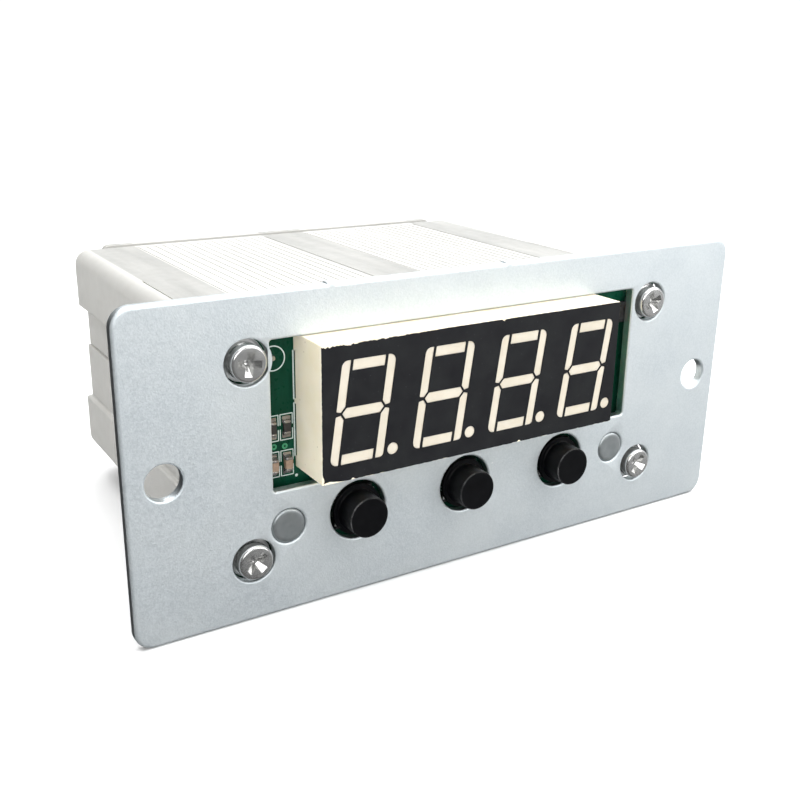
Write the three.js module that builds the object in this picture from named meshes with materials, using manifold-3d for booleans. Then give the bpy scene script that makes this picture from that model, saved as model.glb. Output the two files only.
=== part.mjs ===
// A panel instrument: an aluminium face plate with a four-digit LED display and three push buttons,
// and a ribbed plastic case behind it that holds the boards, the transformer and the rear terminals.
//
// Millimetres, +Z up. The instrument looks towards -Y, and +X is on the right of someone who faces it.
// Every piece is drawn with y = 0 at the plate's front face and x = z = 0 at the plate's centre; the
// exported group then moves the whole so that its origin is at the centre of its footprint.

import * as THREE from "three";
import { mergeVertices } from "three/addons/utils/BufferGeometryUtils.js";
import Module from "manifold-3d";

// ---- Driving dimensions ---------------------------------------------------------------------------

const FIT = 0.05; // clearance round a piece that sits in a hole
const PAST = 1; // how far a cutting tool reaches past the face that it cuts

const PLATE = { width: 103.3, height: 45.5, thickness: 1.5, corner: 2.6, edgeRound: 0.7 };
const MOUNTING_HOLE = { radius: 2.5, reach: 46.5 };
const WINDOW_X = -0.4; // the window, the buttons and the studs sit a little left of the plate's middle
const WINDOW = { width: 62.6, height: 21.0, centreZ: 5.9, corner: 0.4 };
const EDGE_NUB = { width: 1.4, proud: 0.25, depth: 0.8, places: [-22.7, 6.1] };

const DISPLAY = { width: 50.3, height: 19, depth: 8, centreX: -2, centreZ: 6.85, proud: 5.3, wall: 0.6 };
const FACE_THICKNESS = 0.3;
const DIFFUSER_THICKNESS = 0.8;
const CARRIER = { thickness: 0.8, setBack: 0.4 };
const DIGIT = { count: 4, pitch: 12.7, width: 8.1, height: 14.2, stroke: 1.45, gap: 0.36, corner: 1 };
const SLANT = Math.tan(THREE.MathUtils.degToRad(8));
const POINT = { radius: 0.85, fromCentre: 4.55 };
const PIN = { columns: 6, pitch: 2.54, rowSpacing: 15.24, side: 0.5, length: 4.2, holeRadius: 0.5 };

const BOARD_THICKNESS = 1.6;
const DISPLAY_BOARD = { width: 76, height: 35, corner: 1, front: DISPLAY.depth - DISPLAY.proud };
const DISPLAY_BOARD_BACK = DISPLAY_BOARD.front + BOARD_THICKNESS;
const HOLE_GAP = 0.15; // how much wider than its screw or stud a hole in the board is
const LINK = { pins: 8, pitch: 2.54, pinSide: 0.64, holeRadius: 0.6, z: -6.5, bar: 2.5 };

const CHIP = { length: 2, width: 1.25, endShare: 0.2, endProud: 0.04 };
const CHIP_COLUMNS = [["inner", -28.4], ["outer", -30.5]];
const CHIP_RESISTOR = { height: 0.5, z: 3.35 };
const CHIP_CAPACITOR = { height: 0.9, z: -1.85 };
const CHIP_DIODE = { length: 3.2, width: 1.5, height: 1.1, x: 30.55, z: 12.3 };
const LEAD = { width: 0.5, thickness: 0.2, knee: 0.5, foot: 1, standOff: 0.1 };
const DRIVER_CHIP = { length: 10, width: 6, height: 2.2, leadsPerSide: 7, z: 6 };
const CONTROLLER_CHIP = { length: 12.8, width: 7.5, height: 2.2, leadsPerSide: 8, x: 8, y: 22 };

const BUTTON = { pitch: 18.4, z: -10.05, holeRadius: 4.4 };
const CAP = { radius: 3, taper: 0.05, bevel: 0.25, proud: 3.2 };
const FOOT = { radius: 3.8, front: 0.2, back: 0.8 };
const SWITCH = { side: 6, front: 1.3, cavityRadius: 2, floor: 0.3 };
const SWITCH_COVER = { thickness: 0.2, height: 4.8, tabWidth: 2.4, tabDrop: 0.8 };
const STEM = { radius: 1.5, top: 1.6, end: 0.6 };

const SCREW = { x: 34.8, z: 13.9, headRadius: 2.5, headHeight: 2.4, radius: 1.5, length: 12 };
const SCREW_CLEARANCE_RADIUS = 3.1;
const SCREW_HEAD = { dome: 0.45, crown: 0.45, shoulder: 0.8, recessReach: 1.15, recessWidth: 0.3 };
const SCREW_RECESS = 1.2;
const WASHER = { radius: 3, thickness: 1.1 }; // a plain and a spring washer, pressed together
const STUD = { x: 29.2, z: -9.95, headRadius: 2.5, edge: 0.1, radius: 1.5, tip: 0.4, end: 8 };
const NUT = { acrossFlats: 5.5, height: 2.4 };

const CASE = { halfWidth: 39.3, halfHeight: 18, corner: 3, wall: 2, rear: 63.3, partingZ: 1.3 };
const CHANNEL = { upperEdge: 8.3, lowerEdge: -8.2, upperDepth: 1.4, lowerDepth: 1, insideDepth: 1.2 };
const RIBS = { inner: 4.3, outer: 28.7, pitch: 1.525, slotWidth: 0.7, slotDepth: 0.4, front: 7 };
const SEAM_GROOVE = { x: 35.2, width: 0.3, depth: 0.25, rear: 34 };
const BOSS = { radius: 3.3, length: 14, bore: 1.6, boreDepth: 12 };
const REAR_FLANGE = { inner: 33, outer: 37.8, thickness: 2, inset: 1 };
const REAR_COVER = { halfWidth: 33.7, corner: 0.6, thickness: 2.3 };
const REAR_PLUG = { depth: 3, gap: 0.3, wall: 1.5 };
const REAR_FACE = CASE.rear + REAR_COVER.thickness;
const COVER_SCREW = { x: 29, headRadius: 2.4, headHeight: 1.5, radius: 1.25, length: 12 };
const COVER_POST = { halfWidth: 2.5, below: 3, length: 9, boreDepth: 7.5 };
const COVER_SCREW_RECESS = 0.9;

const MAIN_BOARD = { halfWidth: 34.5, front: 9.5, back: 59, bottom: -9.8 };
const MAIN_BOARD_TOP = MAIN_BOARD.bottom + BOARD_THICKNESS;
const RAIL = { inner: 33.5, outer: 37.8, height: 1.5, front: 19 };
const TRANSFORMER = { x: -18, y: 38, lift: 0.5 };
const CORE = { width: 30, stack: 15, height: 22, leg: 10, side: 5, gap: 0.2 };
const RELAY = { width: 15, length: 19, height: 15.5, x: 24, y: 40 };
const SMOOTHING_CAPACITOR = { radius: 5, height: 16, x: 6, y: 40 };

const TERMINAL = { poles: 6, pitch: 5.08, height: 12, front: 54.5, screwZ: 0.2, mouthZ: -5.2, gap: 0.3 };
const TERMINAL_WELL = { radius: 2, depth: 5 };
const TERMINAL_MOUTH = { width: 3.4, height: 3.2, depth: 7 };
const TERMINAL_SCREW = { radius: 1.8, height: 3, slotWidth: 0.7, slotDepth: 0.9 };

const BUTTON_SIDES = ["left", "middle", "right"];
const SIDES = [["left", -1], ["right", 1]];
const CORNERS = [
  ["upper_left", -1, 1],
  ["upper_right", 1, 1],
  ["lower_left", -1, -1],
  ["lower_right", 1, -1],
];

// ---- Joining and cutting solids -------------------------------------------------------------------

const wasm = await Module();
wasm.setup();

// A closed geometry as a manifold-3d solid, with its shared vertices merged.
function toSolid(geometry) {
  const bare = geometry.clone();
  bare.deleteAttribute("normal");
  bare.deleteAttribute("uv");
  const merged = mergeVertices(bare, 1e-4);
  const index = merged.index.array;
  const triangles = [];
  for (let i = 0; i < index.length; i += 3) {
    const [a, b, c] = [index[i], index[i + 1], index[i + 2]];
    if (a !== b && b !== c && c !== a) triangles.push(a, b, c);
  }
  return new wasm.Manifold(
    new wasm.Mesh({
      numProp: 3,
      vertProperties: merged.attributes.position.array,
      triVerts: new Uint32Array(triangles),
    }),
  );
}

function toGeometry(solid) {
  const mesh = solid.getMesh();
  const positions = new Float32Array(mesh.numVert * 3);
  for (let i = 0; i < mesh.numVert; i++) {
    positions.set(mesh.vertProperties.subarray(i * mesh.numProp, i * mesh.numProp + 3), i * 3);
  }
  const geometry = new THREE.BufferGeometry();
  geometry.setAttribute("position", new THREE.BufferAttribute(positions, 3));
  geometry.setIndex(new THREE.BufferAttribute(mesh.triVerts, 1));
  geometry.computeVertexNormals();
  return geometry;
}

function join(base, ...others) {
  return toGeometry(others.reduce((solid, other) => solid.add(toSolid(other)), toSolid(base)));
}

function cut(base, ...tools) {
  return toGeometry(tools.reduce((solid, tool) => solid.subtract(toSolid(tool)), toSolid(base)));
}

function keep(base, region) {
  return toGeometry(toSolid(base).intersect(toSolid(region)));
}

// ---- Shapes ---------------------------------------------------------------------------------------

// The two values in rising order.
function inOrder(a, b) {
  return [Math.min(a, b), Math.max(a, b)];
}

// count values, pitch apart and centred on 0.
function evenlySpaced(count, pitch) {
  return Array.from({ length: count }, (_, index) => (index - (count - 1) / 2) * pitch);
}

// A box between two values on each axis.
function box([x0, x1], [y0, y1], [z0, z1]) {
  const geometry = new THREE.BoxGeometry(x1 - x0, y1 - y0, z1 - z0);
  return geometry.translate((x0 + x1) / 2, (y0 + y1) / 2, (z0 + z1) / 2);
}

function centredBox(width, [y0, y1], height, x = 0, z = 0) {
  return box([x - width / 2, x + width / 2], [y0, y1], [z - height / 2, z + height / 2]);
}

// A round rod along Y.
function rod(radius, front, back, x = 0, z = 0, sides = 24) {
  const geometry = new THREE.CylinderGeometry(radius, radius, back - front, sides);
  return geometry.translate(x, (front + back) / 2, z);
}

// An outline in X and Z, extruded along Y from front to back.
function slab(shape, front, back, options = {}) {
  const settings = { depth: back - front, bevelEnabled: false, curveSegments: 3, ...options };
  const geometry = new THREE.ExtrudeGeometry(shape, settings);
  return geometry.rotateX(Math.PI / 2).translate(0, back, 0);
}

function roundedRectangle(width, height, radius, x = 0, z = 0) {
  const [left, right, low, high] = [x - width / 2, x + width / 2, z - height / 2, z + height / 2];
  const shape = new THREE.Shape();
  shape.moveTo(left + radius, low);
  shape.lineTo(right - radius, low);
  shape.absarc(right - radius, low + radius, radius, -Math.PI / 2, 0);
  shape.lineTo(right, high - radius);
  shape.absarc(right - radius, high - radius, radius, 0, Math.PI / 2);
  shape.lineTo(left + radius, high);
  shape.absarc(left + radius, high - radius, radius, Math.PI / 2, Math.PI);
  shape.lineTo(left, low + radius);
  shape.absarc(left + radius, low + radius, radius, Math.PI, 1.5 * Math.PI);
  return shape;
}

// A body turned about Y from a profile of [radius, y] pairs that starts and ends on the axis.
function turned(profile, sides = 20) {
  return new THREE.LatheGeometry(profile.map(([r, y]) => new THREE.Vector2(r, y)), sides);
}

// A flat ring along Y.
function ring(outer, inner, front, back, sides = 16) {
  return turned([[inner, front], [outer, front], [outer, back], [inner, back], [inner, front]], sides);
}

// ---- Materials and placing ------------------------------------------------------------------------

function material(color, roughness, metalness = 0) {
  return new THREE.MeshStandardMaterial({ color, roughness, metalness });
}

const MATERIALS = {
  aluminium: material(0xc3cdd0, 0.5, 0.85),
  steel: material(0xc9c9c6, 0.25, 1),
  stud: material(0x9ba4a5, 0.45, 0.9),
  circuitBoard: material(0x0d3a28, 0.4),
  ivory: material(0xe9dfc9, 0.45),
  displayBlack: material(0x1f1e22, 0.45),
  segment: material(0xe2d6c2, 0.5),
  tinned: material(0xb9b6ad, 0.35, 0.9),
  buttonBlack: material(0x141415, 0.45),
  switchBlack: material(0x1b1a1a, 0.6),
  chipBlack: material(0x202020, 0.6),
  resistor: material(0x2b2a2a, 0.5),
  capacitorTan: material(0x9d7f66, 0.5),
  caseWhite: material(0xdedcd3, 0.55),
  relayBlue: material(0x1d4f8f, 0.4),
  coreSteel: material(0x55565a, 0.5, 0.8),
  windingTape: material(0xd9b53c, 0.5),
  capacitorSleeve: material(0x1c2430, 0.4),
  terminalGreen: material(0x2f6b3d, 0.5),
};

// A named mesh, placed at x and z.
function piece(name, geometry, materialName, x = 0, z = 0) {
  const mesh = new THREE.Mesh(geometry, MATERIALS[materialName].clone());
  mesh.name = name;
  mesh.position.set(x, 0, z);
  return mesh;
}

function group(...children) {
  const made = new THREE.Group();
  made.add(...children);
  return made;
}

const buttonX = evenlySpaced(BUTTON_SIDES.length, BUTTON.pitch).map((x) => WINDOW_X + x);
const studX = (side) => WINDOW_X + side * STUD.x;

// ---- Face plate and what fastens it ---------------------------------------------------------------

function frontPlate() {
  const { width, height, thickness, corner, edgeRound } = PLATE;
  const outline = roundedRectangle(width, height, corner);
  const rounded = slab(outline, edgeRound, thickness + edgeRound, {
    bevelEnabled: true,
    bevelThickness: edgeRound,
    bevelSize: edgeRound,
    bevelOffset: -edgeRound,
    bevelSegments: 2,
    curveSegments: 3,
  });
  const sheet = keep(rounded, centredBox(width + 2 * PAST, [-PAST, thickness], height + 2 * PAST));
  const drill = (radius, x, z) => rod(radius, -PAST, thickness + PAST, x, z);
  const windowSize = [WINDOW.width, WINDOW.height, WINDOW.corner];
  const windowOutline = roundedRectangle(...windowSize, WINDOW_X, WINDOW.centreZ);
  return cut(
    join(sheet, ...EDGE_NUB.places.map(edgeNub)),
    slab(windowOutline, -PAST, thickness + PAST),
    ...SIDES.map(([, side]) => drill(MOUNTING_HOLE.radius, side * MOUNTING_HOLE.reach, 0)),
    ...SIDES.map(([, side]) => drill(STUD.headRadius + FIT, studX(side), STUD.z)),
    ...CORNERS.map(([, right, up]) => drill(SCREW_CLEARANCE_RADIUS, right * SCREW.x, up * SCREW.z)),
    ...buttonX.map((x) => drill(BUTTON.holeRadius, x, BUTTON.z)),
  );
}

// The tip that is left on the plate's top edge where it was broken out of its sheet.
function edgeNub(x) {
  const { width, proud, depth } = EDGE_NUB;
  const top = PLATE.height / 2;
  const back = PLATE.thickness;
  return box([x - width / 2, x + width / 2], [back - depth, back], [top - PAST, top + proud]);
}

// A clinch stud: its flush head fills a hole in the plate, and its shank reaches back.
function clinchStud() {
  const { headRadius, edge, radius, tip, end } = STUD;
  return turned([
    [0, 0],
    [headRadius - edge, 0],
    [headRadius, edge],
    [headRadius, PLATE.thickness],
    [radius, PLATE.thickness],
    [radius, end - tip],
    [radius - tip, end],
    [0, end],
  ]);
}

function hexNut() {
  const { acrossFlats, height } = NUT;
  const [front, back] = [DISPLAY_BOARD_BACK, DISPLAY_BOARD_BACK + height];
  const hexagon = rod(acrossFlats / Math.sqrt(3), front, back, 0, 0, 6);
  return cut(hexagon, rod(STUD.radius + FIT, front - PAST, back + PAST));
}

// A pan head with a cross recess on a plain shank, whose head rests at y = seat.
function panHeadScrew({ headRadius, headHeight, radius, length }, seat, recess) {
  const front = seat - headHeight;
  const { dome, crown, shoulder, recessReach, recessWidth } = SCREW_HEAD;
  const body = turned([
    [0, front],
    [headRadius * crown, front],
    [headRadius * shoulder, front + dome / 3],
    [headRadius, front + dome * 1.6],
    [headRadius, seat],
    [radius, seat],
    [radius, seat + length],
    [0, seat + length],
  ]);
  const arm = (width, height) => centredBox(width, [front - PAST, front + recess], height);
  const long = headRadius * recessReach;
  const narrow = headRadius * recessWidth;
  return cut(body, arm(long, narrow), arm(narrow, long));
}

function plateGroup() {
  const studs = SIDES.map(([side, sign]) =>
    group(
      piece(`plate_stud_${side}`, clinchStud(), "stud", studX(sign), STUD.z),
      piece(
        `stud_spacer_${side}`,
        ring(STUD.headRadius, STUD.radius + FIT, PLATE.thickness, DISPLAY_BOARD.front),
        "steel",
        studX(sign),
        STUD.z,
      ),
      piece(`stud_nut_${side}`, hexNut(), "steel", studX(sign), STUD.z),
    ),
  );
  return group(piece("front_plate", frontPlate(), "aluminium"), ...studs);
}

function boardScrewGroup() {
  const seat = DISPLAY_BOARD.front - WASHER.thickness;
  return group(
    ...CORNERS.map(([place, right, up]) => {
      const [x, z] = [right * SCREW.x, up * SCREW.z];
      const washer = ring(WASHER.radius, SCREW.radius + FIT, seat, DISPLAY_BOARD.front);
      return group(
        piece(`board_screw_${place}`, panHeadScrew(SCREW, seat, SCREW_RECESS), "steel", x, z),
        piece(`board_washer_${place}`, washer, "steel", x, z),
      );
    }),
  );
}

// ---- Display --------------------------------------------------------------------------------------

// The seven strokes of one upright digit, each an outline round the digit's centre, then slanted.
function digitStrokes() {
  const { width, height, stroke, gap, corner } = DIGIT;
  const [edge, top] = [width / 2, height / 2];
  const inner = edge - stroke;
  const half = gap / 2;
  const tip = edge - stroke / 2;
  const slanted = (x, z) => [x + z * SLANT, z];

  // One upright stroke of the upper half, on the left or right by the sign of side.
  const upright = (side, up) => {
    const points = [
      [edge, half * 1.4],
      [edge, top - corner],
    ];
    for (let step = 1; step <= 3; step++) {
      const angle = (step * Math.PI) / 6;
      points.push([edge - corner + corner * Math.cos(angle), top - corner + corner * Math.sin(angle)]);
    }
    points.push([inner + half, top], [inner + half, stroke / 2 + half], [tip, half]);
    return points.map(([x, z]) => slanted(side * x, up * z));
  };
  const level = (up) => [
    slanted(-inner + half, up * top),
    slanted(inner - half, up * top),
    slanted(inner - half, up * (top - stroke)),
    slanted(-inner + half, up * (top - stroke)),
  ];
  const middle = [
    [-tip + half, 0],
    [-inner, stroke / 2],
    [inner, stroke / 2],
    [tip - half, 0],
    [inner, -stroke / 2],
    [-inner, -stroke / 2],
  ].map(([x, z]) => slanted(x, z));
  return [level(1), level(-1), middle, upright(-1, 1), upright(1, 1), upright(-1, -1), upright(1, -1)];
}

// One stroke as a solid between two depths, grown by a margin about its own centre.
function strokeSolid(points, front, back, margin) {
  const solid = slab(new THREE.Shape(points.map(([x, z]) => new THREE.Vector2(x, z))), front, back);
  solid.computeBoundingBox();
  const size = solid.boundingBox.getSize(new THREE.Vector3());
  const centre = solid.boundingBox.getCenter(new THREE.Vector3());
  solid.translate(-centre.x, 0, -centre.z);
  solid.scale(1 + (2 * margin) / size.x, 1, 1 + (2 * margin) / size.z);
  return solid.translate(centre.x, 0, centre.z);
}

// Every stroke and decimal point of the display, as solids between two depths, grown by a margin.
function litShapes(front, back, margin) {
  const strokes = digitStrokes();
  const pointZ = DISPLAY.centreZ - DIGIT.height / 2 + POINT.radius;
  return evenlySpaced(DIGIT.count, DIGIT.pitch).flatMap((fromMiddle) => {
    const x = DISPLAY.centreX + fromMiddle;
    const solids = strokes.map((points) => strokeSolid(points, front, back, margin));
    solids.forEach((solid) => solid.translate(x, 0, DISPLAY.centreZ));
    return [...solids, rod(POINT.radius + margin, front, back, x + POINT.fromCentre, pointZ, 12)];
  });
}

// A block of the display's outline, drawn in all round by inset, between two depths.
function displayBlock(inset, front, back) {
  const { width, height, centreX, centreZ } = DISPLAY;
  return centredBox(width - 2 * inset, [front, back], height - 2 * inset, centreX, centreZ);
}

function displayHousing() {
  const { depth, proud, wall } = DISPLAY;
  const [front, back] = [FACE_THICKNESS - proud, depth - proud];
  return cut(displayBlock(0, front, back), displayBlock(wall, front - PAST, back + PAST));
}

function displayFace() {
  const { proud } = DISPLAY;
  return cut(displayBlock(0, -proud, FACE_THICKNESS - proud), ...litShapes(-proud - PAST, 0, FIT / 2));
}

// The pale body behind the face: one slab, with every stroke and point raised through the face.
function segmentDiffuser() {
  const { proud, wall } = DISPLAY;
  const front = FACE_THICKNESS - proud;
  const slabBehind = displayBlock(wall + FIT, front, front + DIFFUSER_THICKNESS);
  return join(slabBehind, ...litShapes(-proud, front + DIFFUSER_THICKNESS / 2, -FIT / 2));
}

function pinPlaces() {
  return evenlySpaced(2, PIN.rowSpacing).flatMap((z) =>
    evenlySpaced(PIN.columns, PIN.pitch).map((x) => [DISPLAY.centreX + x, DISPLAY.centreZ + z]),
  );
}

// The carrier inside the back of the housing, with the pins that go through the display board.
function displayPinCarrier() {
  const { depth, proud, wall } = DISPLAY;
  const { thickness, setBack } = CARRIER;
  const back = depth - proud - setBack;
  const pinSpan = [back - thickness / 2, back + PIN.length];
  const pins = pinPlaces().map(([x, z]) => centredBox(PIN.side, pinSpan, PIN.side, x, z));
  return join(displayBlock(wall + FIT, back - thickness, back), ...pins);
}

function displayGroup() {
  return group(
    piece("display_housing", displayHousing(), "ivory"),
    piece("display_face", displayFace(), "displayBlack"),
    piece("segment_diffuser", segmentDiffuser(), "segment"),
    piece("display_pin_carrier", displayPinCarrier(), "tinned"),
  );
}

// ---- Display board --------------------------------------------------------------------------------

function displayBoard() {
  const { width, height, corner, front } = DISPLAY_BOARD;
  const sheet = slab(roundedRectangle(width, height, corner), front, DISPLAY_BOARD_BACK);
  const drill = (radius, x, z, count) => rod(radius, front - PAST, DISPLAY_BOARD_BACK + PAST, x, z, count);
  return cut(
    sheet,
    ...CORNERS.map(([, right, up]) => drill(SCREW.radius + HOLE_GAP, right * SCREW.x, up * SCREW.z, 16)),
    ...SIDES.map(([, side]) => drill(STUD.radius + HOLE_GAP, studX(side), STUD.z, 16)),
    ...pinPlaces().map(([x, z]) => drill(PIN.holeRadius, x, z, 6)),
    ...evenlySpaced(LINK.pins, LINK.pitch).map((x) => drill(LINK.holeRadius, x, LINK.z, 6)),
  );
}

// A chip resistor, capacitor or diode: a body between two thicker ends, standing upright on the board.
function chipPart({ length, width, height }) {
  const back = DISPLAY_BOARD.front;
  const { endShare, endProud } = CHIP;
  const end = length * endShare;
  const body = centredBox(width - 2 * endProud, [back - height + endProud, back], length - 2 * endProud);
  const ends = evenlySpaced(2, length - end).map((z) => centredBox(width, [back - height, back], end, 0, z));
  return join(body, ...ends);
}

// One gull-wing lead on the +Y side of a chip of the given size, centred on x = 0.
function gullWingLead(chipWidth, chipHeight) {
  const { width, thickness, knee, foot, standOff } = LEAD;
  const side = chipWidth / 2;
  const shoulder = standOff + chipHeight / 2;
  const outline = [
    [side - thickness, shoulder],
    [side + knee - thickness, shoulder],
    [side + knee - thickness, 0],
    [side + foot, 0],
    [side + foot, thickness],
    [side + knee, thickness],
    [side + knee, shoulder + thickness],
    [side - thickness, shoulder + thickness],
  ];
  const shape = new THREE.Shape(outline.map(([y, z]) => new THREE.Vector2(y, z)));
  const lead = new THREE.ExtrudeGeometry(shape, { depth: width, bevelEnabled: false });
  // The outline is drawn in Y and Z, so the shape's X becomes Y, and its depth becomes X.
  return lead.rotateX(Math.PI / 2).rotateZ(Math.PI / 2).translate(-width / 2, 0, 0);
}

// A chip with gull-wing leads along two sides; drawn lying on z = 0 with its body along X.
function leadedChip({ length, width, height, leadsPerSide }) {
  const lead = gullWingLead(width, height);
  const pitch = (length - 2 * LEAD.width) / (leadsPerSide - 1);
  const leads = evenlySpaced(leadsPerSide, pitch).flatMap((x) => [
    lead.clone().translate(x, 0, 0),
    lead.clone().rotateZ(Math.PI).translate(x, 0, 0),
  ]);
  const { standOff } = LEAD;
  const body = box([-length / 2, length / 2], [-width / 2, width / 2], [standOff, standOff + height]);
  return join(body, ...leads);
}

function displayBoardGroup() {
  const driver = piece("display_driver_chip", leadedChip(DRIVER_CHIP), "chipBlack");
  driver.rotation.x = -Math.PI / 2;
  driver.position.set(0, DISPLAY_BOARD_BACK, DRIVER_CHIP.z);
  const resistor = chipPart({ ...CHIP, height: CHIP_RESISTOR.height });
  const capacitor = chipPart({ ...CHIP, height: CHIP_CAPACITOR.height });
  return group(
    piece("display_board", displayBoard(), "circuitBoard"),
    driver,
    ...CHIP_COLUMNS.flatMap(([place, x]) => [
      piece(`chip_resistor_${place}`, resistor, "resistor", x, CHIP_RESISTOR.z),
      piece(`chip_capacitor_${place}`, capacitor, "capacitorTan", x, CHIP_CAPACITOR.z),
    ]),
    piece("chip_diode", chipPart(CHIP_DIODE), "chipBlack", CHIP_DIODE.x, CHIP_DIODE.z),
  );
}

// ---- Buttons --------------------------------------------------------------------------------------

function switchBase() {
  const { side, front, cavityRadius, floor } = SWITCH;
  const board = DISPLAY_BOARD.front;
  return cut(centredBox(side, [front, board], side), rod(cavityRadius, front - PAST, board - floor));
}

// The switch's metal cover: a plate with a round hole and a tab folded down each side.
function switchCover() {
  const { front } = SWITCH;
  const { thickness, height, tabWidth, tabDrop } = SWITCH_COVER;
  const width = SWITCH.side + 2 * thickness;
  const sheet = centredBox(width, [front - thickness, front], height);
  const tabs = SIDES.map(([, sign]) => {
    const across = inOrder((sign * width) / 2, sign * (width / 2 - thickness));
    return box(across, [front - thickness, front + tabDrop], [-tabWidth / 2, tabWidth / 2]);
  });
  return cut(join(sheet, ...tabs), rod(STEM.radius + 3 * FIT, front - PAST, front + PAST));
}

function switchStem() {
  return rod(STEM.radius, STEM.top - CAP.proud, DISPLAY_BOARD.front - STEM.end);
}

// The cap: a round body with a wider foot inside the plate's hole, and a socket for the stem.
function buttonCap() {
  const { radius, taper, bevel, proud } = CAP;
  const body = turned([
    [0, -proud],
    [radius - bevel, -proud],
    [radius - bevel * 0.3, -proud + bevel * 0.3],
    [radius, -proud + bevel],
    [radius + taper, FOOT.front],
    [FOOT.radius, FOOT.front],
    [FOOT.radius, FOOT.back],
    [0, FOOT.back],
  ], 28);
  return cut(body, rod(STEM.radius + FIT, STEM.top - 2 * FIT - proud, FOOT.back + PAST));
}

function buttonGroup(side, index) {
  const made = group(
    piece(`switch_base_${side}`, switchBase(), "switchBlack"),
    piece(`switch_cover_${side}`, switchCover(), "steel"),
    piece(`switch_stem_${side}`, switchStem(), "switchBlack"),
    piece(`button_cap_${side}`, buttonCap(), "buttonBlack"),
  );
  made.position.set(buttonX[index], 0, BUTTON.z);
  return made;
}

// ---- Case -----------------------------------------------------------------------------------------

// Half of the case's outline, from the parting line over the rounded corners and back. up is 1 for the
// upper shell and -1 for the lower one, and the line is drawn in from the outer surface by inset.
function halfOutline(up, inset, channelDepth) {
  const { halfWidth, halfHeight, corner, partingZ } = CASE;
  const x = halfWidth - inset;
  const z = up * (halfHeight - inset);
  const radius = corner - inset;
  const channelX = x - channelDepth;
  const channelEdge = (up > 0 ? CHANNEL.upperEdge : CHANNEL.lowerEdge) + (up * inset) / 2;
  const right = [
    [channelX, partingZ],
    [channelX, channelEdge],
    [x, channelEdge],
  ];
  for (let step = 0; step <= 6; step++) {
    const angle = (step * Math.PI) / 12;
    right.push([x - radius + radius * Math.cos(angle), z - up * radius + up * radius * Math.sin(angle)]);
  }
  const left = right.map(([px, pz]) => [-px, pz]).reverse();
  return [...right, ...left];
}

function shellProfile(up) {
  const outside = halfOutline(up, 0, up > 0 ? CHANNEL.upperDepth : CHANNEL.lowerDepth);
  const inside = halfOutline(up, CASE.wall, CHANNEL.insideDepth).reverse();
  return new THREE.Shape([...outside, ...inside].map(([x, z]) => new THREE.Vector2(x, z)));
}

// A groove along Y in the outer face of the upper or lower shell.
function faceGroove(up, x, width, depth, front, rear) {
  const bottom = up * (CASE.halfHeight - depth);
  const outside = up * (CASE.halfHeight + PAST);
  return box([x - width / 2, x + width / 2], [front, rear], inOrder(bottom, outside));
}

// The fine grooves that run front to back in two fields on the outer face.
function ribGrooves(up) {
  const { inner, outer, pitch, slotWidth, slotDepth, front } = RIBS;
  const grooves = [];
  for (let x = inner + pitch / 2; x < outer; x += pitch) {
    for (const [, side] of SIDES) {
      grooves.push(faceGroove(up, side * x, slotWidth, slotDepth, front, CASE.rear + PAST));
    }
  }
  return grooves;
}

function seamGrooves(up) {
  const { x, width, depth, rear } = SEAM_GROOVE;
  return SIDES.map(([, side]) => faceGroove(up, side * x, width, depth, DISPLAY_BOARD_BACK - PAST, rear));
}

// The posts that hang from the upper shell's roof just in front of the rear cover, and the bores in
// them that hold the cover's screws.
function coverPosts() {
  const { halfWidth, below, length, boreDepth } = COVER_POST;
  const back = CASE.rear - REAR_PLUG.depth - REAR_PLUG.gap;
  const z = [-below, CASE.halfHeight - CASE.wall / 2];
  return SIDES.map(([, side]) => {
    const x = side * COVER_SCREW.x;
    const post = box([x - halfWidth, x + halfWidth], [back - length, back], z);
    return cut(post, rod(COVER_SCREW.radius + FIT, back - boreDepth, back + PAST, x, 0));
  });
}

// One shell of the case: walls, two screw bosses and the flanges that the rear cover closes. The upper
// shell also has the cover's screw posts, and the lower one the rails that carry the main board.
function caseShell(up) {
  const front = DISPLAY_BOARD_BACK;
  const walls = slab(shellProfile(up), front, CASE.rear);
  const atScrews = (radius, from, to) =>
    SIDES.map(([, side]) => rod(radius, from, to, side * SCREW.x, up * SCREW.z));
  const bosses = atScrews(BOSS.radius, front, front + BOSS.length);
  const bores = atScrews(BOSS.bore, front - PAST, front + BOSS.boreDepth);
  const flanges = SIDES.map(([, side]) => {
    const { inner, outer, thickness, inset } = REAR_FLANGE;
    const z = inOrder(CASE.partingZ, up * (CASE.halfHeight - inset));
    return box(inOrder(side * inner, side * outer), [CASE.rear - thickness, CASE.rear], z);
  });
  const rails = SIDES.map(([, side]) => {
    const z = [MAIN_BOARD.bottom - RAIL.height, MAIN_BOARD.bottom];
    return box(inOrder(side * RAIL.inner, side * RAIL.outer), [RAIL.front, MAIN_BOARD.back], z);
  });
  const filled = join(walls, ...bosses, ...flanges, ...(up > 0 ? coverPosts() : rails));
  return cut(filled, ...bores, ...ribGrooves(up), ...seamGrooves(up));
}

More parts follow.
